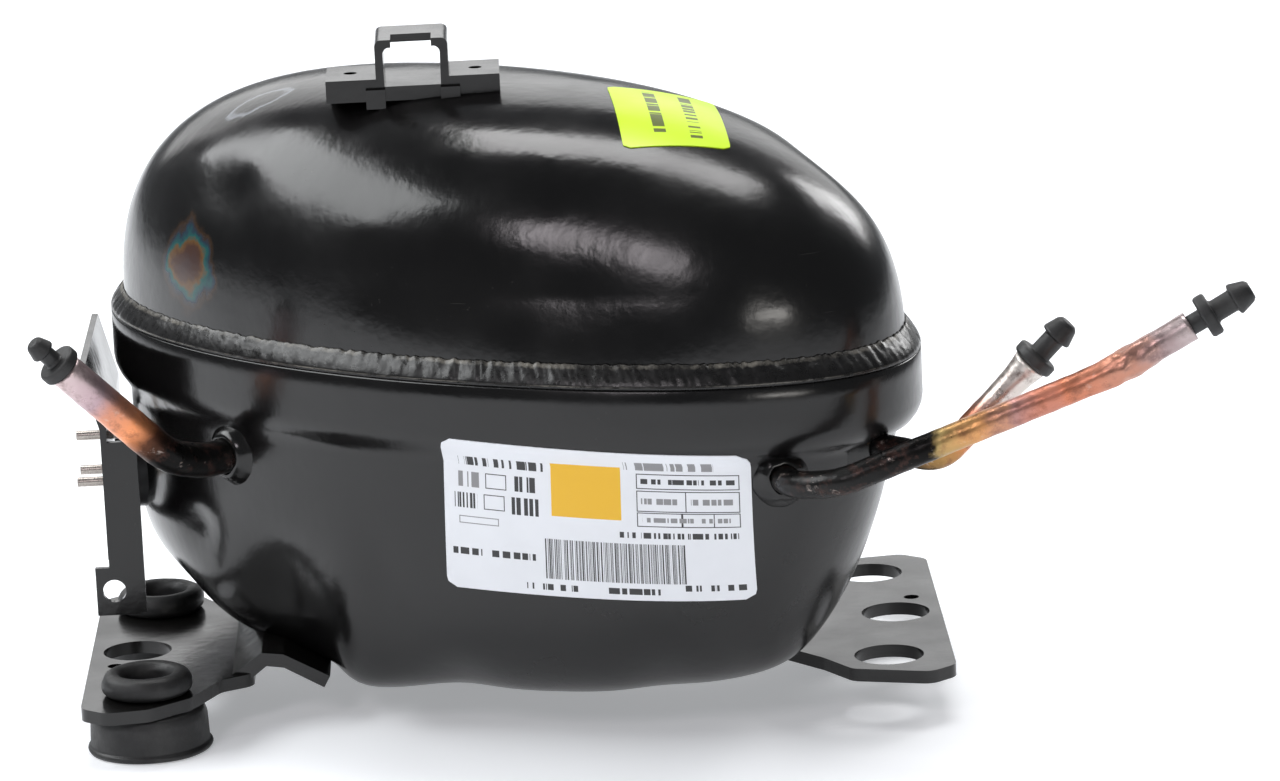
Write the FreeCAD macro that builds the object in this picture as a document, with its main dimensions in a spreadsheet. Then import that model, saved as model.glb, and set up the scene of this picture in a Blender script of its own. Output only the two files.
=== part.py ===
import FreeCAD, Part
import math
import os
import re
import Sketcher

# Hermetic reciprocating compressor.
# Frame: origin at the centre of the four-hole mounting pattern, on the underside plane of the
# mounting plates. +X runs along the length, away from the electrical terminal. +Z is up.

Vector = FreeCAD.Vector
Rotation = FreeCAD.Rotation
Placement = FreeCAD.Placement

doc = FreeCAD.newDocument("compressor")
sheet = doc.addObject("Spreadsheet::Sheet", "Sizes")

# name, value in millimetres or degrees, meaning
DIMENSIONS = [
    ("shell_centre_x", 1.0, "centre of the shell along X"),
    ("rim_half_length", 93.4, "half length of the rim"),
    ("rim_half_depth", 66.0, "half depth of the rim at its centre"),
    ("plan_skew", -0.42, "sideways shift of the plan per unit of X"),
    ("plan_power", 2.12, "superellipse power of the plan"),
    ("seam_height", 78.0, "top of the bowl's rim"),
    ("cover_rise", 57.5, "height of the cover above the seam"),
    ("bowl_drop", 79.5, "depth of the bowl below the seam"),
    ("wall", 3.0, "thickness of the shell"),
    ("cover_inset", 3.35, "cover wall inside the rim's outline"),
    ("cover_lap", 6.0, "length of the cover inside the rim"),
    ("band_height", 12.0, "height of the rim's flared band"),
    ("band_step", 2.8, "step from the band to the bowl's wall"),
    ("bead_rise", 5.2, "height of the weld bead on the cover"),
    ("plate_thickness", 3.0, "mounting plate"),
    ("plate_edge_x", 99.7, "outer edge of a plate"),
    ("plate_edge_y", 50.3, "side edge of a plate"),
    ("hole_x", 85.0, "outer mounting holes along X"),
    ("hole_y", 35.0, "outer mounting holes along Y"),
    ("middle_hole_x", 89.0, "middle hole along X"),
    ("hole_radius", 8.0, "mounting holes"),
    ("small_hole_x", 93.6, "small hole along X"),
    ("small_hole_y", 12.0, "small hole along Y"),
    ("small_hole_radius", 1.8, "small hole"),
    ("arm_half_width", 24.0, "half width of a plate's arm"),
    ("grommet_bore", 5.0, "radius of the grommet's bore"),
    ("grommet_neck", 7.9, "radius of the grommet's neck"),
    ("grommet_flange", 10.4, "radius of the grommet's upper flange"),
    ("grommet_flange_height", 5.5, "height of the upper flange"),
    ("grommet_foot", 14.0, "radius of the grommet's foot"),
    ("foot_drop", 10.0, "foot below the plate's underside"),
    ("clip_x", -17.2, "centre of the top bracket along X"),
    ("clip_y", -6.4, "centre of the top bracket along Y"),
    ("clip_length", 39.5, "length of the top bracket"),
    ("clip_depth", 18.0, "depth of the top bracket"),
    ("clip_sheet", 1.8, "sheet of the top bracket"),
    ("clip_base_height", 135.4, "underside of the top bracket's base"),
    ("hat_width", 16.6, "outer width of the clip's hat"),
    ("hat_rise", 8.9, "hat above the clip's flanges"),
    ("hat_notch", 9.2, "width of the notch in the hat"),
    ("terminal_x", -89.2, "outer face of the terminal cup"),
    ("terminal_y", 28.0, "terminal centre along Y"),
    ("terminal_z", 42.0, "terminal centre height"),
    ("terminal_radius", 11.0, "terminal cup"),
    ("pin_circle", 6.6, "radius of the circle of pins"),
    ("pin_radius", 1.15, "terminal pin"),
    ("pin_tip_x", -102.0, "free end of the pins"),
    ("bracket_x", -94.0, "outer face of the terminal bracket's sheet"),
    ("bracket_sheet", 1.5, "sheet of the terminal bracket"),
    ("bracket_front_y", -6.0, "front edge of the terminal bracket"),
    ("bracket_back_y", 50.0, "back edge of the terminal bracket"),
    ("bracket_low_z", 27.0, "lower edge of the terminal bracket"),
    ("bracket_bend_z", 58.0, "bend of the flared top"),
    ("bracket_top_z", 73.0, "top of the flared top"),
    ("bracket_flare", 4.0, "how far the top flares out"),
    ("suction_radius", 4.0, "outer radius of the suction tube"),
    ("line_radius", 3.1, "outer radius of the discharge and process tubes"),
    ("tube_wall", 0.8, "wall of the copper tubes"),
    ("plug_flange", 4.9, "flange radius of the rubber plugs"),
    ("pump_angle", -34.0, "turn of the pump about Z"),
    ("crank_offset", -22.0, "crank axis along the pump's own X"),
    ("crank_throw", 10.0, "half of the piston's stroke"),
    ("stroke_height", 90.0, "height of the cylinder's axis"),
    ("piston_radius", 13.0, "piston"),
    ("shaft_radius", 8.0, "main journal and crank pin"),
    ("running_gap", 0.03, "radial clearance of running fits"),
    ("stator_radius", 40.0, "stator laminations"),
    ("stator_bore", 22.0, "stator bore radius"),
    ("stator_low", 24.0, "underside of the stator"),
    ("stator_high", 52.0, "top of the stator"),
    ("rotor_radius", 21.5, "rotor"),
    ("rotor_low", 22.0, "underside of the rotor"),
    ("rotor_high", 54.0, "top of the rotor"),
    ("bolt_reach", 25.5, "stator bolts from the crank axis, along each axis"),
    ("deck_low", 62.0, "underside of the crankcase deck"),
    ("deck_high", 70.0, "top of the crankcase deck"),
    ("bore_near", 28.0, "open end of the cylinder, from the crank axis"),
    ("bore_far", 58.0, "valve end of the cylinder, from the crank axis"),
    ("block_half", 21.0, "half width of the cylinder block"),
    ("spring_low", 8.0, "lower end of the suspension springs"),
    ("spring_high", 18.0, "upper end of the suspension springs"),
    ("spring_radius", 5.2, "mean radius of a spring"),
    ("spring_wire", 0.65, "radius of the spring wire"),
]

for row, (alias, value, meaning) in enumerate(DIMENSIONS, start=1):
    sheet.set("A%d" % row, alias)
    sheet.set("B%d" % row, str(value))
    sheet.set("C%d" % row, meaning)
    sheet.setAlias("B%d" % row, alias)
doc.recompute()
NAMES = {entry[0] for entry in DIMENSIONS}
PARTS = []


def size(alias):
    """The value of a cell."""
    return float(sheet.get(alias))


def linked(expression):
    """An expression in which every cell name is read from the sheet."""
    def replace(word):
        return "Sizes." + word.group() if word.group() in NAMES else word.group()
    return re.sub(r"[A-Za-z_]\w*", replace, str(expression))


def value_of(expression):
    """The number that an expression of cells comes to."""
    names = {alias: size(alias) for alias in NAMES if alias in expression}
    total = expression
    for alias in sorted(names, key=len, reverse=True):
        total = re.sub(r"\b%s\b" % alias, "(%r)" % names[alias], total)
    return FreeCAD.Units.Quantity(total).Value


def bind(item, **expressions):
    """Bind properties of an object to cells."""
    for name, expression in expressions.items():
        item.setExpression(name, linked(expression))
    return item


def keep(item, label):
    """Name a finished sub-part."""
    item.Label = label
    PARTS.append(item)
    return item


# Places ------------------------------------------------------------------------------------

def pump_placement():
    """The pump's own frame: crank axis at its origin, +X along the stroke."""
    turn = Rotation(Vector(0, 0, 1), size("pump_angle"))
    centre = Vector(size("shell_centre_x"), 0, 0)
    return Placement(centre + turn.multVec(Vector(size("crank_offset"), 0, 0)), turn)


def in_pump(x, y, z):
    """A point of the pump's frame, in the part's frame."""
    return pump_placement().multVec(Vector(x, y, z))


# Shell -------------------------------------------------------------------------------------

AROUND = 44

# Each dent: centre, radius and depth. A negative depth is a swelling.
DENTS = [
    (Vector(22, -60, 100), 24.0, 4.0),
    (Vector(84, -18, 118), 13.0, 3.5),
    (Vector(-52, -20, 20), 15.0, 5.0),
    (Vector(-66, 0, 10), 14.0, -3.0),
]

COVER_LEVELS = [0.1, 0.24, 0.38, 0.52, 0.65, 0.76, 0.85, 0.92, 0.96, 0.985, 0.996]
COVER_CREST = 0.9995
BOWL_LEVELS = [0.16, 0.26, 0.38, 0.5, 0.62, 0.73, 0.81, 0.87, 0.92, 0.955, 0.978, 0.99]
BOWL_FLOOR = 0.996


def plan_point(angle, grow):
    """A point of the rim's plan, grown outwards, before the skew."""
    along = size("rim_half_length") + grow
    across = size("rim_half_depth") + grow
    power = size("plan_power")
    reach = (abs(math.cos(angle)) / along) ** power + (abs(math.sin(angle)) / across) ** power
    radius = reach ** (-1.0 / power)
    return radius * math.cos(angle), radius * math.sin(angle)


def skewed(x, y, z):
    """A point of the shell, with the plan's skew."""
    return Vector(size("shell_centre_x") + x, y + size("plan_skew") * x, z)


def dented(point):
    """A point of the shell after the dents, each pushed towards the shell's centre."""
    inward = Vector(size("shell_centre_x"), 0, size("seam_height")) - point
    inward.normalize()
    fade = min(abs(point.z - size("seam_height")) / 20.0, 1.0)
    push = 0.0
    for place, radius, depth in DENTS:
        push += fade * depth * math.exp(-((point - place).Length / radius) ** 2)
    return point + inward * push


def level_share(level, power):
    """How much of the plan is left at a level of a superellipse."""
    return (1 - level ** power) ** (1.0 / power)


def cover_point(angle, level, skin):
    """A point of the cover, at a level from 0 at the seam to 1 at the crest."""
    across = level_share(level, 2.65 - 0.15 * math.cos(angle))
    x, y = plan_point(angle, skin - size("cover_inset"))
    lean = -11.0 * level * level
    height = size("seam_height") + (size("cover_rise") + skin) * level
    return skewed(x * across + lean * (1 - across), y * across, height)


def bowl_point(angle, level, skin):
    """A point of the bowl below its band, at a level from 0 at the seam to 1 at the floor."""
    right = (1 + math.cos(angle)) / 2
    taper = right * (0.1 * level + 0.165 * level * level)
    taper += (1 - right) * (0.065 * level - 0.12 * level * level)
    across = level_share(level, 7.0 * right + 4.5 * (1 - right)) * (1 - taper)
    x, y = plan_point(angle, skin - size("band_step"))
    raised = 12.0 * level * level / (1 + math.exp((x * across + 62.0) / 6.0))
    drop = (size("bowl_drop") + skin - raised) * level
    return skewed(x * across, y * across, size("seam_height") - drop)


def around(point_at):
    """A closed smooth curve from a function of the angle."""
    points = [point_at(2 * math.pi * step / AROUND) for step in range(AROUND)]
    curve = Part.BSplineCurve()
    curve.interpolate(Points=points, PeriodicFlag=True,
                      Parameters=[float(step) for step in range(AROUND + 1)])
    return Part.Wire([curve.toShape()])


def flat_ring(grow, height):
    """The rim's plan at a height."""
    return around(lambda angle: skewed(*plan_point(angle, grow), height))


def cover_solid(skin, start):
    """The cover filled in from a start height, its skin moved outwards."""
    inset = skin - size("cover_inset")
    rings = [flat_ring(inset, start), flat_ring(inset, size("seam_height"))]
    for level in COVER_LEVELS:
        rings.append(around(lambda angle: dented(cover_point(angle, level, skin))))
    rings.append(around(lambda angle: cover_point(angle, COVER_CREST, skin)))
    return Part.makeLoft(rings, True, False)


def bowl_solid(skin, top):
    """The bowl filled in up to a top height, its skin moved outwards, with the rim's band."""
    inset = skin - size("band_step")
    rings = [flat_ring(inset, size("seam_height") - 2)]
    for level in BOWL_LEVELS:
        rings.append(around(lambda angle: dented(bowl_point(angle, level, skin))))
    floor = size("seam_height") - (size("bowl_drop") + skin) * BOWL_FLOOR

    def floor_point(angle):
        spot = bowl_point(angle, BOWL_FLOOR, skin)
        return Vector(spot.x, spot.y, floor)
    rings.append(around(floor_point))
    body = Part.makeLoft(rings, True, False)
    low = size("seam_height") - size("band_height")
    band = [flat_ring(skin, top), flat_ring(skin, low), flat_ring(inset - 1.2, low - 4.5)]
    return body.fuse(Part.makeLoft(band, True, True))


def raised_prism(grow, low, high):
    """A prism on the rim's plan."""
    return Part.Face(flat_ring(grow, low)).extrude(Vector(0, 0, high - low))


def shaped(label, shape):
    """A sub-part whose shape is set here."""
    item = doc.addObject("Part::Feature", label)
    item.Shape = shape
    return keep(item, label)


def largest(shape):
    """The largest solid of a shape."""
    return max(shape.Solids, key=lambda solid: solid.Volume)


def add_shell():
    """Cover, bowl and weld bead; returns the filled bowl, the bowl's cavity and the cover."""
    wall = size("wall")
    seam = size("seam_height")
    cover = cover_solid(0.0, seam - size("cover_lap"))
    shaped("upper_shell", largest(cover.cut(cover_solid(-wall, seam - size("cover_lap") - 2))))
    bowl = bowl_solid(0.0, seam)
    cavity = bowl_solid(-wall, seam + 2)
    shaped("lower_shell", largest(bowl.cut(cavity)))
    profile = [(-0.2, 0.0), (-0.4, 0.3), (-1.3, 0.62), (-2.6, 0.9), (-3.1, 1.0)]
    rings = [flat_ring(grow, seam + share * size("bead_rise")) for grow, share in profile]
    hole = raised_prism(-size("cover_inset"), seam - 1, seam + size("bead_rise") + 1)
    shaped("seam_weld_bead", largest(Part.makeLoft(rings, True, True).cut(hole)))
    return bowl, cavity, cover


# PartDesign helpers ------------------------------------------------------------------------

def new_body(label):
    return keep(doc.addObject("PartDesign::Body", label + "_body"), label)


def origin_plane(body, role):
    for feature in body.Origin.OriginFeatures:
        if feature.Role == role:
            return feature
    raise ValueError(role)


def new_sketch(body, role="XY_Plane", offset="0"):
    """A sketch on one of the body's origin planes, moved along the plane's normal."""
    sketch = body.newObject("Sketcher::SketchObject", "Sketch")
    sketch.AttachmentSupport = [(origin_plane(body, role), "")]
    sketch.MapMode = "FlatFace"
    sketch.setExpression("AttachmentOffset.Base.z", linked(offset))
    return sketch


def outline(sketch, corners):
    """A closed outline of straight lines; each corner is a pair of expressions."""
    spots = [Vector(value_of(x), value_of(y), 0) for x, y in corners]
    first = sketch.GeometryCount
    for index, spot in enumerate(spots):
        after = spots[(index + 1) % len(spots)]
        sketch.addGeometry(Part.LineSegment(spot, after), False)
    for index, (x, y) in enumerate(corners):
        line = first + index
        after = first + (index + 1) % len(corners)
        sketch.addConstraint(Sketcher.Constraint("Coincident", line, 2, after, 1))
        for kind, expression in (("DistanceX", x), ("DistanceY", y)):
            number = sketch.addConstraint(
                Sketcher.Constraint(kind, -1, 1, line, 1, value_of(expression)))
            sketch.setExpression("Constraints[%d]" % number, linked(expression))


def circle(sketch, radius, x="0", y="0"):
    """A circle with its radius and centre bound to cells."""
    middle = Vector(value_of(x), value_of(y), 0)
    shape = Part.Circle(middle, Vector(0, 0, 1), value_of(radius))
    number = sketch.addGeometry(shape, False)
    rule = sketch.addConstraint(Sketcher.Constraint("Radius", number, value_of(radius)))
    sketch.setExpression("Constraints[%d]" % rule, linked(radius))
    for kind, expression in (("DistanceX", x), ("DistanceY", y)):
        rule = sketch.addConstraint(
            Sketcher.Constraint(kind, -1, 1, number, 3, value_of(expression)))
        sketch.setExpression("Constraints[%d]" % rule, linked(expression))


def rectangle(sketch, low_x, low_y, high_x, high_y):
    outline(sketch, [(low_x, low_y), (high_x, low_y), (high_x, high_y), (low_x, high_y)])


def pad(body, sketch, length, both_ways=False):
    feature = body.newObject("PartDesign::Pad", "Pad")
    feature.Profile = sketch
    feature.Midplane = both_ways
    feature.setExpression("Length", linked(length))
    return feature


def pocket(body, sketch, through=True, length="1"):
    """A cut on both sides of the sketch, or downwards by a length."""
    feature = body.newObject("PartDesign::Pocket", "Pocket")
    feature.Profile = sketch
    if through:
        feature.Type = 1
        feature.Midplane = True
    else:
        feature.setExpression("Length", linked(length))
    return feature


def turned(body, corners):
    """Turn an outline about the body's Z axis; each corner is a radius and a height."""
    sketch = new_sketch(body, "XZ_Plane")
    outline(sketch, corners)
    feature = body.newObject("PartDesign::Revolution", "Revolution")
    feature.Profile = sketch
    feature.ReferenceAxis = (sketch, ["V_Axis"])
    feature.Angle = 360
    return feature


def rounded(body, radius, chosen):
    """Round the edges of the body's tip for which chosen(edge) is true."""
    doc.recompute()
    tip = body.Tip
    names = []
    for number, edge in enumerate(tip.Shape.Edges, start=1):
        if chosen(edge):
            names.append("Edge%d" % number)
    feature = body.newObject("PartDesign::Fillet", "Fillet")
    feature.Base = (tip, names)
    feature.setExpression("Radius", linked(radius))
    return feature


def upright(edge):
    """True for a straight edge along Z."""
    if not isinstance(edge.Curve, Part.Line):
        return False
    return abs(edge.Curve.Direction.z) > 0.99


def patterned(body, feature, count):
    """Repeat a feature evenly about the body's Z axis."""
    pattern = body.newObject("PartDesign::PolarPattern", "PolarPattern")
    pattern.Originals = [feature]
    pattern.Axis = (origin_plane(body, "Z_Axis"), [""])
    pattern.Angle = 360
    pattern.Occurrences = count
    body.Tip = pattern
    return pattern


# Part helpers ------------------------------------------------------------------------------

def box(low, high):
    """A box between two corners; each corner is three expressions."""
    item = doc.addObject("Part::Box", "Box")
    for name, near, far in zip(("Length", "Width", "Height"), low, high):
        item.setExpression(name, linked("(%s)-(%s)" % (far, near)))
    for name, near in zip("xyz", low):
        item.setExpression("Placement.Base." + name, linked(near))
    return item


def rod(radius, place, length, along="z"):
    """A cylinder that starts at a place and runs along an axis."""
    item = doc.addObject("Part::Cylinder", "Cylinder")
    turn = {"z": Rotation(), "x": Rotation(Vector(0, 1, 0), 90), "y": Rotation(Vector(1, 0, 0), -90)}
    item.Placement = Placement(Vector(), turn[along])
    bind(item, Radius=radius, Height=length)
    for name, near in zip("xyz", place):
        item.setExpression("Placement.Base." + name, linked(near))
    return item


def joined(*items):
    fused = doc.addObject("Part::MultiFuse", "Fuse")
    fused.Shapes = list(items)
    return fused


def minus(base, *tools):
    """A base less one or more tools."""
    result = doc.addObject("Part::Cut", "Cut")
    result.Base = base
    result.Tool = tools[0] if len(tools) == 1 else joined(*tools)
    return result


def grouped(items):
    """Separate solids kept together."""
    group = doc.addObject("Part::Compound", "Group")
    group.Links = list(items)
    return group


def turned_about_z(item, degrees):
    """A copy of a piece, turned about the Z axis."""
    copy = doc.addObject("Part::Feature", "Turned")
    doc.recompute()
    shape = item.Shape.copy()
    shape.rotate(Vector(), Vector(0, 0, 1), degrees)
    copy.Shape = shape
    return copy


def pump_part(item, label):
    """Keep a piece that is drawn in the pump's frame."""
    keep(item, label)
    item.Placement = pump_placement()
    return item


# Tubes -------------------------------------------------------------------------------------

def route_wire(points, share=0.45):
    """Straight runs joined by arcs that touch them."""
    edges = []
    here = points[0]
    for before, corner, after in zip(points, points[1:], points[2:]):
        into = corner - before
        out = after - corner
        half_turn = into.getAngle(out) / 2
        reach = share * min(into.Length, out.Length)
        radius = reach / math.tan(half_turn)
        into.normalize()
        out.normalize()
        start = corner - into * reach
        end = corner + out * reach
        bisector = (out - into)
        bisector.normalize()
        centre = corner + bisector * (radius / math.cos(half_turn))
        middle = centre - bisector * radius
        edges.append(Part.LineSegment(here, start).toShape())
        edges.append(Part.Arc(start, middle, end).toShape())
        here = end
    edges.append(Part.LineSegment(here, points[-1]).toShape())
    return Part.Wire(edges)


def tube_solid(points, radius, inner=None, share=0.45):
    """A round tube along a route, hollow when it has an inner radius."""
    path = route_wire(points, share)

    def swept(reach):
        section = Part.Circle(points[0], points[1] - points[0], reach).toShape()
        return path.makePipeShell([Part.Wire([section])], True, True)
    if inner:
        return swept(radius).cut(swept(inner))
    return swept(radius)


def wall_spot(degrees, height):
    """A point of the bowl's wall and the outward direction there."""
    angle = math.radians(degrees)
    level = (size("seam_height") - height) / size("bowl_drop")
    spot = bowl_point(angle, level, 0.0)
    along = bowl_point(angle + 0.01, level, 0.0) - bowl_point(angle - 0.01, level, 0.0)
    outward = Vector(along.y, -along.x, 0)
    outward.normalize()
    return spot, outward


# Each line: port angle and height on the bowl, then the corners of its route and its free end.
LINES = {
    "suction": (215.0, 53.7, [Vector(-77, -31.0, 57.2), Vector(-98.5, -40, 81)]),
    "discharge": (322.2, 55.8, [Vector(72, -86.5, 57.5), Vector(132.5, -88, 79.8),
                                Vector(150, -88, 89.5)]),
    "process": (341.2, 59.2, [Vector(95.5, -73.8, 58.6), Vector(116, -74.5, 79.5)]),
}


def line_route(name):
    degrees, height, corners = LINES[name]
    spot, outward = wall_spot(degrees, height)
    return [spot - outward * 9, spot + outward * 8] + corners


def line_radius(name):
    return size("suction_radius") if name == "suction" else size("line_radius")


def facing(direction):
    """The rotation that turns +Z to a direction."""
    return Rotation(Vector(0, 0, 1), direction)


def add_lines(bowl_shell):
    """Copper stubs, their weld collars and the transport plugs."""
    for name in LINES:
        radius = line_radius(name)
        route = line_route(name)
        tube = tube_solid(route, radius, radius - size("tube_wall"), 0.42)
        shaped(name + "_tube", tube)
        spot, outward = wall_spot(*LINES[name][:2])
        hole = Part.makeCylinder(radius + 0.02, 24, spot - outward * 12, outward)
        ring = Part.makeCone(radius + 4.4, radius + 1.2, 4.6, spot - outward * 2.0, outward)
        collar = ring.cut(hole).cut(bowl_shell)
        shaped(name + "_collar", largest(collar))
        heading = route[-1] - route[-2]
        add_plug(name, route[-1], heading, radius)


def add_plug(name, end, heading, radius):
    """A rubber plug: stem in the tube, flange on its end, neck and barbed tip outside."""
    stem = radius - size("tube_wall") - 0.05
    small = 0.8 if name == "suction" else 1.0
    start = 3.0 if name == "discharge" else 0.2
    flange = size("plug_flange")
    neck = 2.5 * small
    barb = 3.6 * small
    body = new_body(name + "_plug")
    corners = [(0, -6), (stem, -6), (stem, start), (flange, start), (flange, start + 2.8),
               (neck, start + 2.8), (neck, start + 7.6 * small), (barb, start + 8 * small),
               (2 * small, start + 12.4 * small), (0, start + 12.4 * small)]
    turned(body, [("%.3f" % x, "%.3f" % z) for x, z in corners])
    body.Placement = Placement(end, facing(heading))
    return body


def cut_port_holes(item):
    """Cut the holes of the three lines and the terminal in the bowl."""
    shape = item.Shape
    for name in LINES:
        spot, outward = wall_spot(*LINES[name][:2])
        hole = Part.makeCylinder(line_radius(name) + 0.02, 24, spot - outward * 12, outward)
        shape = shape.cut(hole)
    centre = Vector(size("terminal_x") - 4, size("terminal_y"), size("terminal_z"))
    opening = Part.makeCylinder(size("terminal_radius") + 0.02, 20, centre, Vector(1, 0, 0))
    item.Shape = largest(shape.cut(opening))


# Outside pieces ----------------------------------------------------------------------------

def add_plates(bowl):
    """Two equal mounting plates, the right one turned half a turn, each with a saddle arm."""
    for side, turn in (("left", 0), ("right", 180)):
        body = doc.addObject("PartDesign::Body", "plate_%s_sheet" % side)
        sketch = new_sketch(body)
        outline(sketch, [
            ("-plate_edge_x", "-plate_edge_y+5"), ("-plate_edge_x+6", "-plate_edge_y"),
            ("-hole_x+1", "-plate_edge_y+1.5"), ("-hole_x+10", "-hole_y-6.5"),
            ("-hole_x+16.5", "-arm_half_width-4"), ("-hole_x+24", "-arm_half_width"),
            ("-hole_x+24", "arm_half_width"), ("-hole_x+15", "hole_y"),
            ("-hole_x+9", "hole_y+10"), ("-plate_edge_x+6", "plate_edge_y"),
            ("-plate_edge_x", "plate_edge_y-5")])
        pad(body, sketch, "plate_thickness")
        rounded(body, "4", upright)
        sketch = new_sketch(body)
        circle(sketch, "hole_radius", "-hole_x", "-hole_y")
        circle(sketch, "hole_radius", "-hole_x", "hole_y")
        circle(sketch, "hole_radius", "-middle_hole_x", "0")
        circle(sketch, "small_hole_radius", "-small_hole_x", "-small_hole_y")
        pocket(body, sketch)
        arm = doc.addObject("PartDesign::Body", "plate_%s_arm" % side)
        sketch = new_sketch(arm, "XZ_Plane")
        outline(sketch, [
            ("-hole_x+21", "0"), ("-hole_x+27", "4.6"), ("-hole_x+31", "4.0"),
            ("-hole_x+40", "-1.2"), ("-hole_x+41.5", "1.4"), ("-hole_x+31", "7.2"),
            ("-hole_x+26", "7.8"), ("-hole_x+19", "3")])
        pad(arm, sketch, "2*arm_half_width", both_ways=True)
        doc.recompute()
        shape = body.Shape.fuse(arm.Shape).removeSplitter()
        shape.rotate(Vector(), Vector(0, 0, 1), turn)
        plate = largest(shape.cut(bowl))
        shaped("mounting_plate_" + side, plate)


def add_grommets():
    """Rubber grommets in the two left outer holes."""
    top = "plate_thickness+grommet_flange_height"
    for place, sign in (("front", "-"), ("rear", "")):
        body = new_body("grommet_%s_left" % place)
        turned(body, [
            ("grommet_bore", "-foot_drop"), ("grommet_foot+0.5", "-foot_drop"),
            ("grommet_foot+0.3", "-foot_drop+1.2"), ("grommet_foot-0.5", "-foot_drop+2.2"),
            ("grommet_foot-0.9", "-0.02"), ("grommet_neck", "-0.02"),
            ("grommet_neck", "plate_thickness+0.02"),
            ("grommet_flange-0.8", "plate_thickness+0.02"),
            ("grommet_flange", "plate_thickness+2.4"), ("grommet_flange-1.0", top + "-1.0"),
            ("grommet_flange-2.6", top), ("grommet_bore+1", top),
            ("grommet_bore", top + "-1")])
        body.setExpression("Placement.Base.x", linked("-hole_x"))
        body.setExpression("Placement.Base.y", linked(sign + "hole_y"))


def add_top_bracket(cover):
    """Base strip and hat-shaped clip on the cover."""
    near = ("clip_x-clip_length/2", "clip_y-clip_depth/2", "clip_base_height-1.5")
    far = ("clip_x+clip_length/2", "clip_y+clip_depth/2", "clip_base_height+clip_sheet")
    strip = box(near, far)
    tabs = []
    for offset in ("-8.5", "+8.5"):
        tabs.append(box(("clip_x%s-2.2" % offset, "clip_y-clip_depth/2-1.6", "clip_base_height-3"),
                        ("clip_x%s+2.2" % offset, "clip_y-clip_depth/2", "clip_base_height+clip_sheet-0.4")))
    base = joined(strip, *tabs)
    doc.recompute()
    shaped("top_bracket_base", largest(base.Shape.cut(cover)))

    body = new_body("top_bracket_clip")
    sketch = new_sketch(body, "XZ_Plane")
    low = "clip_base_height+clip_sheet"
    flange = low + "+clip_sheet"
    top = flange + "+hat_rise"
    end = "clip_length/2"
    outer = "hat_width/2"
    inner = "hat_width/2-clip_sheet"
    outline(sketch, [
        ("-" + end, low), ("-(%s)+0.1" % inner, low), ("-(%s)" % inner, top + "-clip_sheet"),
        (inner, top + "-clip_sheet"), (inner + "-0.1", low), (end, low), (end, flange),
        (outer, flange), (outer, top), ("-" + outer, top), ("-" + outer, flange),
        ("-" + end, flange)])
    pad(body, sketch, "clip_depth", both_ways=True)

    def hat_edge(edge):
        middle = edge.CenterOfMass
        return (isinstance(edge.Curve, Part.Line) and abs(edge.Curve.Direction.y) > 0.99
                and abs(middle.x) < value_of("hat_width") / 2 + 0.1 and middle.z > value_of(flange) + 1)
    rounded(body, "1.5", hat_edge)
    sketch = new_sketch(body, "XY_Plane", "clip_base_height")
    rectangle(sketch, "-hat_notch/2", "-clip_depth/2-1", "hat_notch/2", "-clip_depth/2+7")
    circle(sketch, "1.5", "-clip_length/2+5.5", "0")
    circle(sketch, "1.5", "clip_length/2-5.5", "0")
    cut = pocket(body, sketch)
    cut.Midplane = True
    body.setExpression("Placement.Base.x", linked("clip_x"))
    body.setExpression("Placement.Base.y", linked("clip_y"))


def add_terminal():
    """Feed-through: steel cup in the bowl's wall, three glass beads and three pins."""
    centre = ("terminal_x", "terminal_y", "terminal_z")
    cup = rod("terminal_radius", centre, "7", "x")
    hollow = rod("terminal_radius-2", ("terminal_x+2.5", "terminal_y", "terminal_z"), "7", "x")
    seats = []
    glass = []
    pins = []
    for step in range(3):
        angle = math.radians(90 + 120 * step)
        place = ("terminal_y+pin_circle*%.6f" % math.cos(angle),
                 "terminal_z+pin_circle*%.6f" % math.sin(angle))
        seats.append(rod("2.6", ("terminal_x-1",) + place, "9", "x"))
        bead = rod("2.6", ("terminal_x-0.3",) + place, "3.1", "x")
        bead_hole = rod("pin_radius+0.25", ("terminal_x-1",) + place, "9", "x")
        glass.append(minus(bead, bead_hole))
        outer = rod("pin_radius", ("pin_tip_x",) + place, "terminal_x-0.3-(pin_tip_x)", "x")
        shoulder = rod("pin_radius+0.25", ("terminal_x-0.3",) + place, "3.1", "x")
        inner = rod("pin_radius-0.05", ("terminal_x+2.8",) + place, "pin_tip_x+28.2-(terminal_x)", "x")
        pins.append(joined(outer, shoulder, inner))
    keep(minus(cup, hollow, *seats), "terminal_body")
    keep(grouped(glass), "terminal_glass")
    keep(grouped(pins), "terminal_pins")


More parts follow.
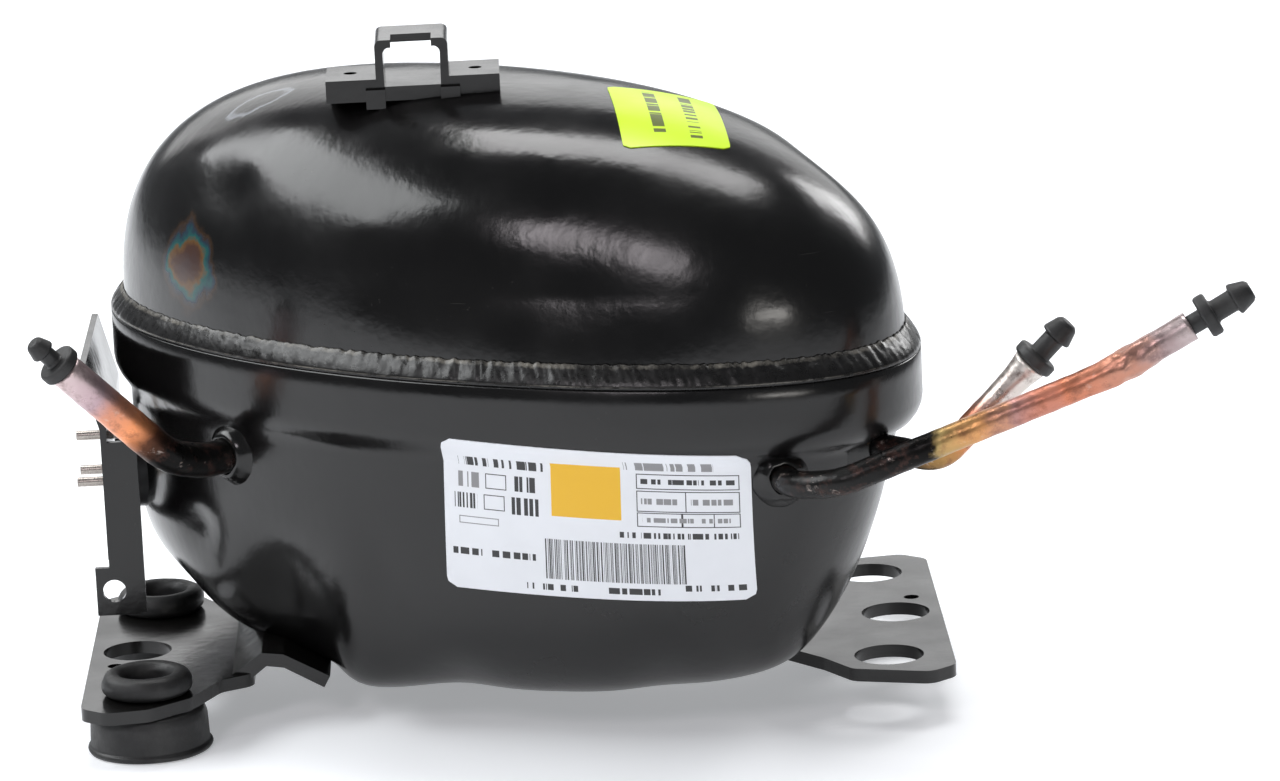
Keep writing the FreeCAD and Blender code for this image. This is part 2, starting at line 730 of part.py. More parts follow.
def add_terminal_bracket():
    """Sheet bracket round the terminal: flared top, front return and an ear with a hole."""
    body = new_body("terminal_bracket")
    inner = "bracket_x+bracket_sheet"
    sketch = new_sketch(body, "XZ_Plane", "-(bracket_front_y+bracket_back_y)/2")
    outline(sketch, [
        ("bracket_x", "bracket_low_z"), (inner, "bracket_low_z"), (inner, "bracket_bend_z"),
        (inner + "-bracket_flare", "bracket_top_z"), ("bracket_x-bracket_flare", "bracket_top_z"),
        ("bracket_x", "bracket_bend_z")])
    pad(body, sketch, "bracket_back_y-bracket_front_y", both_ways=True)
    sketch = new_sketch(body, "XZ_Plane", "-bracket_front_y-bracket_sheet")
    rectangle(sketch, "bracket_x+0.1", "bracket_low_z-13", "bracket_x+8.2", "bracket_bend_z-3")
    pad(body, sketch, "bracket_sheet")
    sketch = new_sketch(body, "XZ_Plane", "-bracket_front_y-bracket_sheet")
    rectangle(sketch, "bracket_x-3.2", "bracket_low_z-13.4", "bracket_x+7", "bracket_low_z-2")
    pad(body, sketch, "bracket_sheet")
    sketch = new_sketch(body, "XZ_Plane")
    circle(sketch, "2.7", "bracket_x+1.0", "bracket_low_z-7.6")
    pocket(body, sketch)
    sketch = new_sketch(body, "YZ_Plane")
    circle(sketch, "terminal_radius+2", "terminal_y", "terminal_z")
    pocket(body, sketch)


def add_labels(bowl, cover):
    """Rating label on the bowl's front and a sticker on the cover, both blank."""
    skin = 0.3
    middle, outward = wall_spot(286.3, 46.5)
    across = Vector(-outward.y, outward.x, 0)
    turn = Rotation(across, Vector(0, 0, 1), outward, "XYZ")
    plate = Part.makeBox(70, 36, 30, Vector(-35, -18, -14))
    plate = plate.makeFillet(3, [edge for edge in plate.Edges if upright(edge)])
    plate.Placement = Placement(middle, turn)
    label = bowl_solid(skin, size("seam_height")).common(plate).cut(bowl)
    shaped("rating_label", largest(label))
    patch = Part.makeBox(24, 36, 90, Vector(-12, -18, 0))
    patch = patch.makeFillet(3, [edge for edge in patch.Edges if upright(edge)])
    patch.Placement = Placement(Vector(40, -28, 90), Rotation(Vector(0, 0, 1), 4))
    sticker = cover_solid(skin, size("seam_height") - 1).common(patch).cut(cover)
    shaped("inspection_sticker", largest(sticker))


# Pump: everything below is drawn in the pump's own frame --------------------------------------

def add_crankcase():
    """Deck, hub, four posts and the cylinder block."""
    deck = box(("-38", "-38", "deck_low"), ("bore_near", "38", "deck_high"))
    nose = box(("bore_near-1", "-block_half", "deck_low"), ("bore_far", "block_half", "deck_high"))
    block = box(("bore_near", "-block_half", "deck_high-1"),
                ("bore_far", "block_half", "stroke_height+19"))
    hub = rod("13", ("0", "0", "40"), "deck_low-39")
    posts = []
    for x in ("-bolt_reach", "bolt_reach"):
        for y in ("-bolt_reach", "bolt_reach"):
            posts.append(rod("3.4", (x, y, "stator_high"), "deck_low-stator_high+1"))
    shaft_hole = rod("shaft_radius+running_gap", ("0", "0", "30"), "60")
    bore = rod("piston_radius+running_gap", ("0", "0", "stroke_height"), "100", "x")
    screws = []
    for x in ("-bolt_reach", "bolt_reach"):
        for y in ("-bolt_reach", "bolt_reach"):
            screws.append(rod("1.55", (x, y, "stator_high-1"), "17"))
    for y, z in head_bolt_places():
        screws.append(rod("1.55", ("bore_far-12", y, z), "14", "x"))
    case = minus(joined(deck, nose, block, hub, *posts), shaft_hole, bore, *screws)
    pump_part(case, "crankcase")


def head_bolt_places():
    """Where the four bolts of the cylinder head stand, across the stroke."""
    return [(y, "stroke_height" + z) for y in ("-17", "17") for z in ("-15", "+15")]


def add_head():
    """Gasket, valve plate, reeds, retainer, head and bolts, from the cylinder outwards."""
    half = "block_half-0.5"
    low = "stroke_height-18.5"
    high = "stroke_height+18.5"

    def layer(near, far):
        return box((near, "-(%s)" % half, low), (far, half, high))

    def bolt_holes(near):
        return [rod("1.65", (near, y, z), "40", "x") for y, z in head_bolt_places()]

    gasket_hole = rod("piston_radius+1", ("bore_far-1", "0", "stroke_height"), "4", "x")
    pump_part(minus(layer("bore_far", "bore_far+0.4"), gasket_hole, *bolt_holes("bore_far-5")),
              "head_gasket")
    suction_port = rod("2.6", ("bore_far-1", "-5", "stroke_height-5"), "8", "x")
    discharge_port = rod("2.2", ("bore_far-1", "5", "stroke_height+5"), "8", "x")
    reed_relief = box(("bore_far", "-8.6", "stroke_height-9"),
                      ("bore_far+0.8", "-1.4", "stroke_height+12"))
    plate = minus(layer("bore_far+0.4", "bore_far+3.4"), suction_port, discharge_port, reed_relief,
                  *bolt_holes("bore_far-5"))
    pump_part(plate, "valve_plate")
    suction_reed = box(("bore_far+0.45", "-8.4", "stroke_height-8.8"),
                       ("bore_far+0.75", "-1.6", "stroke_height+11.8"))
    pump_part(grouped([suction_reed]), "suction_reed")
    discharge_reed = box(("bore_far+3.45", "1.8", "stroke_height-8.9"),
                         ("bore_far+3.75", "8.2", "stroke_height+9"))
    pump_part(grouped([discharge_reed]), "discharge_reed")
    stop = joined(box(("bore_far+3.4", "1.8", "stroke_height-10.8"),
                      ("bore_far+5.5", "8.2", "stroke_height-9.2")),
                  box(("bore_far+5", "1.8", "stroke_height-10.8"),
                      ("bore_far+6", "8.2", "stroke_height+9")))
    pump_part(stop, "reed_retainer")
    cavity = box(("bore_far+3.4", "-0.4", "stroke_height-11"),
                 ("bore_far+11", "15", "stroke_height+11"))
    inlet = box(("bore_far+3.4", "-12", "stroke_height-11"),
                ("bore_far+11", "-2.4", "stroke_height+11"))
    throat = rod("3.5", ("bore_far+10", "-7", "stroke_height"), "8", "x")
    head = minus(layer("bore_far+3.4", "bore_far+14"), cavity, inlet, throat,
                 *bolt_holes("bore_far-5"))
    pump_part(head, "cylinder_head")
    bolts = []
    for y, z in head_bolt_places():
        shank = rod("1.5", ("bore_far-10", y, z), "25", "x")
        cap = rod("2.7", ("bore_far+14.02", y, z), "2.6", "x")
        bolts.append(joined(shank, cap))
    pump_part(grouped(bolts), "head_bolts")


def add_mufflers():
    """Plastic suction muffler on the head and a steel cup over the discharge chamber."""
    shell = box(("bore_far+14.3", "-14", "68"), ("bore_far+30", "12", "106"))
    hollow = box(("bore_far+16", "-12", "70"), ("bore_far+28", "10", "104"))
    neck = rod("3.3", ("bore_far+11.5", "-7", "stroke_height"), "6", "x")
    mouth = rod("2.4", ("bore_far+11", "-7", "stroke_height"), "8", "x")
    inlet = rod("3", ("bore_far+22", "-17", "78"), "6", "y")
    pump_part(minus(joined(minus(shell, hollow), neck), mouth, inlet), "suction_muffler")
    body = new_body("discharge_muffler_cover")
    turned(body, [("0", "10.5"), ("8.1", "10.5"), ("8.1", "0"), ("9.5", "0"), ("9.5", "12"),
                  ("2.7", "12"), ("2.7", "13.5"), ("0", "13.5")])
    body.Placement = Placement(in_pump(-29.5, 28.5, size("deck_high") + 0.02), Rotation())


def add_motor():
    """Stator with six teeth, bobbins, coils and bolts; rotor with six magnets."""
    body = new_body("stator_core")
    sketch = new_sketch(body, "XY_Plane", "stator_low")
    circle(sketch, "stator_radius")
    circle(sketch, "stator_radius-7.8")
    pad(body, sketch, "stator_high-stator_low")
    sketch = new_sketch(body, "XY_Plane", "stator_low")
    rectangle(sketch, "stator_bore+0.4", "-4.5", "stator_radius-7", "4.5")
    tooth = pad(body, sketch, "stator_high-stator_low")
    patterned(body, tooth, 6)
    sketch = new_sketch(body, "XY_Plane", "stator_low")
    for x in ("-bolt_reach", "bolt_reach"):
        for y in ("-bolt_reach", "bolt_reach"):
            circle(sketch, "1.65", x, y)
    pocket(body, sketch)
    body.Placement = pump_placement()

    bobbins = []
    coils = []
    for step in range(6):
        frame = minus(
            box(("24", "-5.6", "stator_low-1.2"), ("31.2", "5.6", "stator_high+1.2")),
            box(("23", "-4.55", "stator_low-0.05"), ("33", "4.55", "stator_high+0.05")))
        winding = minus(
            box(("24.4", "-8.6", "stator_low-4"), ("30.6", "8.6", "stator_high+4")),
            box(("23", "-5.65", "stator_low-1.25"), ("33", "5.65", "stator_high+1.25")))
        bobbins.append(turned_about_z(frame, 60 * step))
        coils.append(turned_about_z(winding, 60 * step))
    pump_part(grouped(bobbins), "stator_bobbins")
    pump_part(grouped(coils), "stator_coils")
    bolts = []
    for x in ("-bolt_reach", "bolt_reach"):
        for y in ("-bolt_reach", "bolt_reach"):
            shank = rod("1.5", (x, y, "stator_low-0.5"), "42")
            cap = rod("3", (x, y, "stator_low-10"), "9.98")
            bolts.append(joined(shank, cap))
    pump_part(grouped(bolts), "stator_bolts")

    core = rod("rotor_radius", ("0", "0", "rotor_low"), "rotor_high-rotor_low")
    shaft_hole = rod("shaft_radius", ("0", "0", "rotor_low-1"), "60")
    clearance = rod("14", ("0", "0", "38"), "30")
    slot = box(("16.2", "-7.05", "rotor_low+1"), ("18.6", "7.05", "rotor_high-1"))
    slots = [turned_about_z(slot, 60 * step) for step in range(6)]
    pump_part(minus(core, shaft_hole, clearance, *slots), "rotor_core")
    magnet = box(("16.25", "-7", "rotor_low+1.05"), ("18.55", "7", "rotor_high-1.05"))
    pump_part(grouped([turned_about_z(magnet, 60 * step) for step in range(6)]), "rotor_magnets")


def add_crank():
    """Crankshaft with its pin, counterweight, thrust washer, oil pump and gallery plug."""
    journal = rod("shaft_radius", ("0", "0", "20"), "deck_high-19")
    web = rod("crank_throw+shaft_radius+0.5", ("0", "0", "deck_high+1.1"), "4.9")
    collar = rod("shaft_radius", ("0", "0", "deck_high-1"), "3")
    pin = rod("shaft_radius", ("crank_throw", "0", "deck_high+5"), "stroke_height-deck_high+2")
    oilway = rod("2.53", ("crank_throw/2", "0", "19"), "4")
    pump_part(minus(joined(journal, web, collar, pin), oilway), "crankshaft")
    ring = minus(rod("26", ("0", "0", "deck_high+1.1"), "4.9"),
                 rod("crank_throw+shaft_radius+0.5", ("0", "0", "deck_high"), "8"),
                 box(("-4", "-30", "deck_high"), ("30", "30", "deck_high+9")))
    pump_part(ring, "counterweight")
    washer = minus(rod("12.5", ("0", "0", "deck_high+0.02"), "1.03"),
                   rod("shaft_radius+running_gap+0.05", ("0", "0", "deck_high-1"), "4"))
    pump_part(washer, "thrust_washer")
    sleeve = minus(rod("9.5", ("0", "0", "8"), "13.9"),
                   rod("shaft_radius", ("0", "0", "19.99"), "4"),
                   rod("2", ("0", "0", "7"), "4"),
                   rod("7", ("0", "0", "10"), "12"))
    pump_part(sleeve, "oil_pickup_tube")
    plug = rod("2.5", ("crank_throw/2", "0", "20"), "2.6")
    pump_part(grouped([plug]), "oil_gallery_plug")


def add_piston():
    """Slide block on the crank pin and the piston with its slotted yoke."""
    block = minus(box(("crank_throw-12", "-12", "stroke_height-5"),
                      ("crank_throw+12", "12", "stroke_height+5")),
                  rod("shaft_radius+running_gap", ("crank_throw", "0", "stroke_height-8"), "16"))
    pump_part(block, "slide_block")
    yoke = box(("crank_throw-16", "-26.5", "stroke_height-5.5"),
               ("crank_throw+16", "26.5", "stroke_height+5.5"))
    slot = box(("crank_throw-12.05", "-22.5", "stroke_height-7"),
               ("crank_throw+12.05", "22.5", "stroke_height+7"))
    stem = rod("5", ("crank_throw+14", "0", "stroke_height"), "14", "x")
    piston = rod("piston_radius", ("bore_far-20.3", "0", "stroke_height"), "20", "x")
    relief = box(("bore_far-1.4", "-9", "stroke_height-9.4"),
                 ("bore_far+1", "-1", "stroke_height+12.4"))
    ring_of_yoke = minus(yoke, slot)
    pump_part(minus(joined(ring_of_yoke, stem, piston), relief), "piston_yoke")


def coil(radius, height, turns, wire):
    """A round wire wound into a spring of open turns, eight arcs to a turn."""
    points = []
    for step in range(16 * turns + 1):
        angle = math.pi * step / 8
        points.append(Vector(radius * math.cos(angle), radius * math.sin(angle),
                             height * step / (16 * turns)))
    arcs = [Part.Arc(*points[step:step + 3]).toShape() for step in range(0, 16 * turns, 2)]
    slope = height / (2 * math.pi * radius * turns)
    section = Part.Circle(points[0], Vector(0, 1, slope), wire)
    return Part.Wire(arcs).makePipeShell([Part.Wire(section.toShape())], True, False)


def add_suspension(cavity):
    """Four springs between seats on the bowl's floor and caps on the stator bolts' heads."""
    low = size("spring_low")
    high = size("spring_high")
    wire = size("spring_wire")
    reach = size("bolt_reach")
    springs = []
    seats = []
    caps = []
    for x, y in ((-reach, -reach), (-reach, reach), (reach, -reach), (reach, reach)):
        foot = in_pump(x, y, low)
        height = high - low - 2 * wire - 0.1
        spring = coil(size("spring_radius"), height, 4, wire)
        spring.translate(foot + Vector(0, 0, wire + 0.05))
        springs.append(spring)
        post = Part.makeCylinder(3.9, 30, foot - Vector(0, 0, 28))
        disc = Part.makeCylinder(6.4, 20, foot - Vector(0, 0, 20))
        seats.append(largest(post.fuse(disc).common(cavity)))
        sleeve = Part.makeCylinder(4.2, 4.3, in_pump(x, y, high - 3.5))
        rim = Part.makeCylinder(6.4, 0.8, in_pump(x, y, high))
        stud = Part.makeCylinder(3.03, 9, in_pump(x, y, high - 5))
        caps.append(sleeve.fuse(rim).cut(stud))
    shaped("suspension_springs", Part.makeCompound(springs))
    shaped("spring_seats", Part.makeCompound(seats))
    shaped("spring_caps", Part.makeCompound(caps))


def add_connections():
    """Discharge loop, motor leads and their connector."""
    port, outward = wall_spot(*LINES["discharge"][:2])
    corners = [(-29.5, 28.5, 83.7), (-29.5, 28.5, 94), (-18, 35, 97), (24, 37, 97), (60, 30, 94),
               (75, 27, 78), (83, 14, 60), (82, -4, 54)]
    route = [in_pump(*corner) for corner in corners]
    route += [port - outward * 24 - Vector(0, 0, 2), port - outward * 9.3]
    shaped("discharge_loop", tube_solid(route, 2.4, 1.7))
    face = Vector(size("terminal_x"), size("terminal_y"), size("terminal_z"))
    socket = Part.makeBox(7, 24, 24, face + Vector(16.5, -12, -12))
    for step in range(3):
        angle = math.radians(90 + 120 * step)
        ring = Vector(0, math.cos(angle), math.sin(angle)) * size("pin_circle")
        hole = Part.makeCylinder(size("pin_radius"), 12, face + ring + Vector(15, 0, 0),
                                 Vector(1, 0, 0))
        socket = socket.cut(hole)
    shaped("lead_connector", socket)
    leads = []
    for step in (-1, 0, 1):
        begin = face + Vector(24.6, 4 * step, 8)
        finish = in_pump(-32.2, 2 + 3 * step, size("stator_high") + 3)
        corners = [begin, begin + Vector(4, 0, 3), finish + Vector(-6, 0, 1.5), finish]
        leads.append(tube_solid(corners, 1.1))
    shaped("lead_wires", Part.makeCompound(leads))


# Build -------------------------------------------------------------------------------------

bowl, bowl_cavity, cover = add_shell()
lower_shell = next(item for item in PARTS if item.Label == "lower_shell")
cut_port_holes(lower_shell)
add_plates(bowl)
add_grommets()
add_top_bracket(cover)
add_terminal()
add_terminal_bracket()
add_lines(lower_shell.Shape)
add_labels(bowl, cover)
add_crankcase()
add_head()
add_mufflers()
add_motor()
add_crank()
add_piston()
add_suspension(bowl_cavity)
add_connections()
doc.recompute()

for item in doc.Objects:
    if "Invalid" in item.State or "Error" in item.State:
        raise RuntimeError("%s failed: %s" % (item.Name, item.State))
for item in PARTS:
    if item.Shape.isNull() or not item.Shape.isValid():
        raise RuntimeError("%s has a bad shape" % item.Label)

os.makedirs("parts", exist_ok=True)
for item in PARTS:
    item.Shape.exportStep("parts/%s.step" % item.Label)
    print("%-26s solids %2d volume %9.1f" % (item.Label, len(item.Shape.Solids), item.Shape.Volume))
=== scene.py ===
import math

import bmesh
import bpy
from mathutils import Matrix, Vector, noise
from mathutils.bvhtree import BVHTree


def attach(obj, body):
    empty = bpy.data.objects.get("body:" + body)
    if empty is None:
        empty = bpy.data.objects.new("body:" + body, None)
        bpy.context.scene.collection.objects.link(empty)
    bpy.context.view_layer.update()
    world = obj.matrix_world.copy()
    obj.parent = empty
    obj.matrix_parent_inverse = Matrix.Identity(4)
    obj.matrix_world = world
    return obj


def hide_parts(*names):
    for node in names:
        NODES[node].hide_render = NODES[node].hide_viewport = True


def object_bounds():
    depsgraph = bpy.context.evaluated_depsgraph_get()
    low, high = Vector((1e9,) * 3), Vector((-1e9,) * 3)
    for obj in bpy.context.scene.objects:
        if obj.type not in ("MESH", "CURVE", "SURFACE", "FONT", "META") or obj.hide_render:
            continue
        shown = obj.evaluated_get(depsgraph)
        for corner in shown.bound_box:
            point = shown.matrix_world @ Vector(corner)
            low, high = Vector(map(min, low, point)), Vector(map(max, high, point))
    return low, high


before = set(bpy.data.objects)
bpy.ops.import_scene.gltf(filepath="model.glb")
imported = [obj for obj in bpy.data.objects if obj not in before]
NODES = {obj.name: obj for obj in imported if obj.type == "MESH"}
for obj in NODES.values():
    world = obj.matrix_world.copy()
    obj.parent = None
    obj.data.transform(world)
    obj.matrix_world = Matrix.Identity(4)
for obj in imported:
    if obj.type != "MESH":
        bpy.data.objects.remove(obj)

CAD_BOX = [list(corner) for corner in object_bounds()]
MM = 0.001


# Camera, floor and light --------------------------------------------------------------------

def make_camera():
    """The view of the photograph: a long lens from the front, a little above."""
    yaw = math.radians(1.1173)
    pitch = math.radians(13.8267)
    roll = -0.046
    forward = Vector((math.sin(yaw) * math.cos(pitch), math.cos(yaw) * math.cos(pitch),
                      -math.sin(pitch)))
    right = Vector((math.cos(yaw), -math.sin(yaw), 0))
    up = right.cross(forward)
    right_rolled = math.cos(roll) * right + math.sin(roll) * up
    up_rolled = -math.sin(roll) * right + math.cos(roll) * up
    turn = Matrix((right_rolled, up_rolled, -forward)).transposed()
    data = bpy.data.cameras.new("camera")
    data.sensor_width = 36.0
    data.lens = 169.72
    data.clip_start = 0.05
    data.clip_end = 50
    camera = bpy.data.objects.new("camera", data)
    camera.matrix_world = Matrix.Translation((0.00484, -1.3620, 0.39484)) @ turn.to_4x4()
    bpy.context.scene.collection.objects.link(camera)
    bpy.context.scene.camera = camera


def softbox(name, place, target, width, height, power, colour=(1, 1, 1)):
    """An area light that faces a target."""
    data = bpy.data.lights.new(name, "AREA")
    data.shape = "RECTANGLE"
    data.size = width
    data.size_y = height
    data.energy = power
    data.color = colour
    light = bpy.data.objects.new(name, data)
    light.location = place
    light.rotation_mode = "QUATERNION"
    light.rotation_quaternion = (Vector(target) - Vector(place)).to_track_quat("-Z", "Y")
    light.visible_camera = False
    bpy.context.scene.collection.objects.link(light)


def make_stage():
    """A wide pale floor, a world that is pale behind it and dim in reflections, softboxes."""
    floor_z = CAD_BOX[0][2]
    mesh = bpy.data.meshes.new("floor")
    mesh.from_pydata([(-6, -6, floor_z), (6, -6, floor_z), (6, 6, floor_z), (-6, 6, floor_z)],
                     [], [(0, 1, 2, 3)])
    floor = bpy.data.objects.new("floor", mesh)
    bpy.context.scene.collection.objects.link(floor)
    shade = bpy.data.materials.new("floor_paper")
    shade.use_nodes = True
    surface = shade.node_tree.nodes["Principled BSDF"]
    surface.inputs["Base Color"].default_value = (0.86, 0.87, 0.89, 1)
    surface.inputs["Roughness"].default_value = 0.9
    surface.inputs["Emission Color"].default_value = (0.95, 0.97, 1.0, 1)
    surface.inputs["Emission Strength"].default_value = 0.32
    mesh.materials.append(shade)
    world = bpy.data.worlds.new("studio")
    world.use_nodes = True
    tree = world.node_tree
    dim = tree.nodes["Background"]
    dim.inputs["Color"].default_value = (0.9, 0.95, 1.0, 1)
    dim.inputs["Strength"].default_value = 0.15
    pale = tree.nodes.new("ShaderNodeBackground")
    pale.inputs["Color"].default_value = (0.95, 0.96, 0.97, 1)
    seen = tree.nodes.new("ShaderNodeLightPath")
    blend = tree.nodes.new("ShaderNodeMixShader")
    tree.links.new(seen.outputs["Is Camera Ray"], blend.inputs["Fac"])
    tree.links.new(dim.outputs["Background"], blend.inputs[1])
    tree.links.new(pale.outputs["Background"], blend.inputs[2])
    tree.links.new(blend.outputs["Shader"], tree.nodes["World Output"].inputs["Surface"])
    bpy.context.scene.world = world
    bpy.context.scene.view_settings.view_transform = "Standard"
    softbox("light_left", (-0.98, 0.12, 0.93), (-0.04, 0, 0.11), 1.5, 0.55, 15, (0.97, 0.99, 1.0))
    softbox("light_top", (0.1, 0.35, 1.35), (0, 0, 0.1), 0.9, 0.5, 11)
    softbox("light_front", (-0.55, -1.22, 0.92), (0.02, 0, 0.1), 0.34, 0.34, 3.2,
            (1.0, 0.93, 0.97))
    softbox("light_fill", (0.55, -1.5, 0.35), (0, 0, 0.06), 0.5, 0.12, 2.4, (1.0, 0.97, 0.93))
    softbox("light_right", (0.85, 0.80, 0.70), (0.04, 0, 0.08), 0.35, 0.6, 5)
    softbox("light_behind", (0.1, 1.7, 0.75), (0, 0, 0.1), 2.6, 0.8, 9)


# Materials ----------------------------------------------------------------------------------

class Shade:
    """A node material built in a few calls."""

    def __init__(self, name):
        self.material = bpy.data.materials.new(name)
        self.material.use_nodes = True
        self.tree = self.material.node_tree
        self.surface = self.tree.nodes["Principled BSDF"]

    def node(self, kind, values=(), **settings):
        made = self.tree.nodes.new("ShaderNode" + kind)
        for name, value in settings.items():
            setattr(made, name, value)
        for name, value in dict(values).items():
            self.feed(made.inputs[name], value)
        return made

    def feed(self, socket, value):
        if hasattr(value, "is_output"):
            self.tree.links.new(value, socket)
        elif isinstance(value, tuple) and len(value) == 3 and socket.type == "RGBA":
            socket.default_value = (*value, 1)
        else:
            socket.default_value = value

    def set(self, name, value):
        self.feed(self.surface.inputs[name], value)

    def place(self):
        """Position in the object's own space, in metres."""
        return self.node("TexCoord").outputs["Object"]

    def noise(self, scale, detail=3.0, roughness=0.55, at=None, stretch=None):
        where = at or self.place()
        if stretch:
            where = self.node("Mapping", {"Vector": where, "Scale": stretch}).outputs["Vector"]
        made = self.node("TexNoise", {"Vector": where, "Scale": scale, "Detail": detail,
                                      "Roughness": roughness})
        return made.outputs["Fac"]

    def ramp(self, value, stops):
        """A colour ramp; each stop is a position and a grey or a colour."""
        made = self.node("ValToRGB", {"Fac": value})
        elements = made.color_ramp.elements
        while len(elements) < len(stops):
            elements.new(0.5)
        for element, (position, colour) in zip(elements, stops):
            element.position = position
            if not isinstance(colour, tuple):
                colour = (colour, colour, colour)
            element.color = (*colour, 1)
        return made.outputs["Color"]

    def maths(self, kind, first, second=0.0, third=0.0, clamp=False):
        made = self.node("Math", operation=kind, use_clamp=clamp)
        for socket, value in zip(made.inputs, (first, second, third)):
            self.feed(socket, value)
        return made.outputs[0]

    def mix(self, share, first, second):
        """A blend of two colours."""
        made = self.node("Mix", data_type="RGBA")
        self.feed(made.inputs["Factor"], share)
        self.feed(made.inputs[6], first)
        self.feed(made.inputs[7], second)
        return made.outputs[2]

    def bump(self, height, strength, distance, below=None):
        made = self.node("Bump", {"Height": height, "Strength": strength, "Distance": distance})
        if below:
            self.feed(made.inputs["Normal"], below)
        self.set("Normal", made.outputs["Normal"])
        return made.outputs["Normal"]


def enamel(name, base=(0.0034, 0.0032, 0.0033), dusty=0.3, tint=None, mark=None):
    """Black stove enamel with orange peel, faint dust and fine scratches."""
    s = Shade(name)
    s.surface.inputs["Specular IOR Level"].default_value = 0.48
    cloud = s.noise(22, 4)
    patch = s.ramp(cloud, [(0.45, 0.0), (0.75, 1.0)])
    dust = s.ramp(s.noise(1100, 2, 0.7), [(0.70, 0.0), (0.76, dusty)])
    specks = s.maths("MULTIPLY", dust, patch)
    colour = s.mix(specks, base, (0.16, 0.15, 0.135))
    colour = s.mix(s.maths("MULTIPLY", patch, 0.3), colour, (0.010, 0.0092, 0.0088))
    scratch = s.noise(60, 3, 0.6, stretch=(0.6, 0.6, 26.0))
    worn = s.maths("MULTIPLY", s.ramp(scratch, [(0.735, 0.0), (0.75, 1.0)]), patch)
    colour = s.mix(s.maths("MULTIPLY", worn, 0.35), colour, (0.09, 0.085, 0.08))
    if tint:
        place, size = tint
        middle = s.node("VectorMath", {0: s.place(), 1: place}, operation="DISTANCE")
        reach = s.maths("ADD", s.maths("DIVIDE", middle.outputs["Value"], size),
                        s.maths("MULTIPLY", s.maths("SUBTRACT", s.noise(150, 4), 0.5), 0.9))
        stain = s.ramp(reach, [(0.0, (0.045, 0.028, 0.028)), (0.35, (0.055, 0.026, 0.018)),
                               (0.50, (0.11, 0.055, 0.018)), (0.62, (0.01, 0.075, 0.07)),
                               (0.74, (0.015, 0.03, 0.05)), (0.86, (0.06, 0.03, 0.012)),
                               (1.0, base)])
        near = s.ramp(reach, [(0.7, 1.0), (1.0, 0.0)])
        colour = s.mix(near, colour, stain)
    if mark:
        away = s.node("VectorMath", {0: s.place(), 1: mark}, operation="SUBTRACT")
        flat = s.node("VectorMath", {0: away.outputs["Vector"], 1: (110.0, 190.0, 0.0)},
                      operation="MULTIPLY")
        size = s.node("VectorMath", {0: flat.outputs["Vector"]}, operation="LENGTH")
        wavy = s.maths("ADD", size.outputs["Value"],
                       s.maths("MULTIPLY", s.maths("SUBTRACT", s.noise(220, 3), 0.5), 0.5))
        chalk = s.ramp(wavy, [(0.60, 0.0), (0.70, 0.35), (0.80, 0.5), (0.92, 0.0)])
        colour = s.mix(chalk, colour, (0.30, 0.32, 0.36))
    s.set("Base Color", colour)
    haze = s.noise(9, 4, 0.6)
    fine = s.noise(70, 5)
    rough = s.maths("ADD", s.maths("MULTIPLY", haze, 0.6), s.maths("MULTIPLY", fine, 0.4))
    s.set("Roughness", s.ramp(rough, [(0.35, 0.13), (0.68, 0.30)]))
    peel = s.bump(s.noise(420, 2), 0.10, 0.0004)
    s.bump(s.noise(75, 3), 0.12, 0.0012, peel)
    return s.material


def weld(name):
    """A weld bead in thin enamel, with painted highlight lines on its lip and toe and steel flecks.
    """
    s = Shade(name)
    across = s.node("Attribute", attribute_name="across").outputs["Fac"]
    spots = s.noise(420, 5, 0.7)
    broad = s.noise(60, 3)
    shifted = s.maths("ADD", across, s.maths("MULTIPLY", s.maths("SUBTRACT", spots, 0.5), 0.10))
    # painted highlight: pale lines where the bead's lip and toe catch the light, broken by gaps
    edges = s.ramp(shifted, [(0.0, 0.0), (0.10, 0.0), (0.14, 1.0), (0.17, 0.0), (0.80, 0.0),
                             (0.88, 0.9), (0.96, 1.0), (1.0, 0.6)])
    gaps = s.ramp(s.maths("ADD", s.maths("MULTIPLY", broad, 0.6),
                          s.maths("MULTIPLY", spots, 0.4)), [(0.46, 0.05), (0.60, 0.6)])
    highlight_and_flecks = s.maths("MULTIPLY", edges, gaps)
    # flecks of uncoated steel (real wear), joined to the painted highlight lines
    flecks = s.ramp(s.noise(800, 3, 0.7), [(0.68, 0.0), (0.74, 0.3)])
    highlight_and_flecks = s.maths("MAXIMUM", highlight_and_flecks, s.maths("MULTIPLY", flecks, s.ramp(broad, [(0.5, 0.0),
                                                                               (0.65, 1.0)])))
    # the pale grey is painted highlight on the lines and uncoated steel in the flecks
    s.set("Base Color", s.mix(highlight_and_flecks, (0.0055, 0.005, 0.005), (0.30, 0.28, 0.24)))
    s.set("Roughness", s.ramp(spots, [(0.3, 0.20), (0.7, 0.42)]))
    s.surface.inputs["Specular IOR Level"].default_value = 0.45
    low = s.bump(s.noise(130, 3), 0.35, 0.0011)
    s.bump(s.noise(700, 3), 0.2, 0.0003, low)
    return s.material


def rubber(name, base=(0.012, 0.012, 0.0125), dust=0.25):
    """Moulded rubber with a dusty bloom."""
    s = Shade(name)
    bloom = s.ramp(s.noise(90, 5, 0.65), [(0.48, 0.0), (0.78, dust)])
    s.set("Base Color", s.mix(bloom, base, (0.10, 0.098, 0.095)))
    s.set("Roughness", s.ramp(s.noise(160, 3), [(0.3, 0.42), (0.7, 0.66)]))
    low = s.bump(s.noise(150, 3), 0.25, 0.0008)
    s.bump(s.noise(1100, 2), 0.25, 0.0002, low)
    return s.material


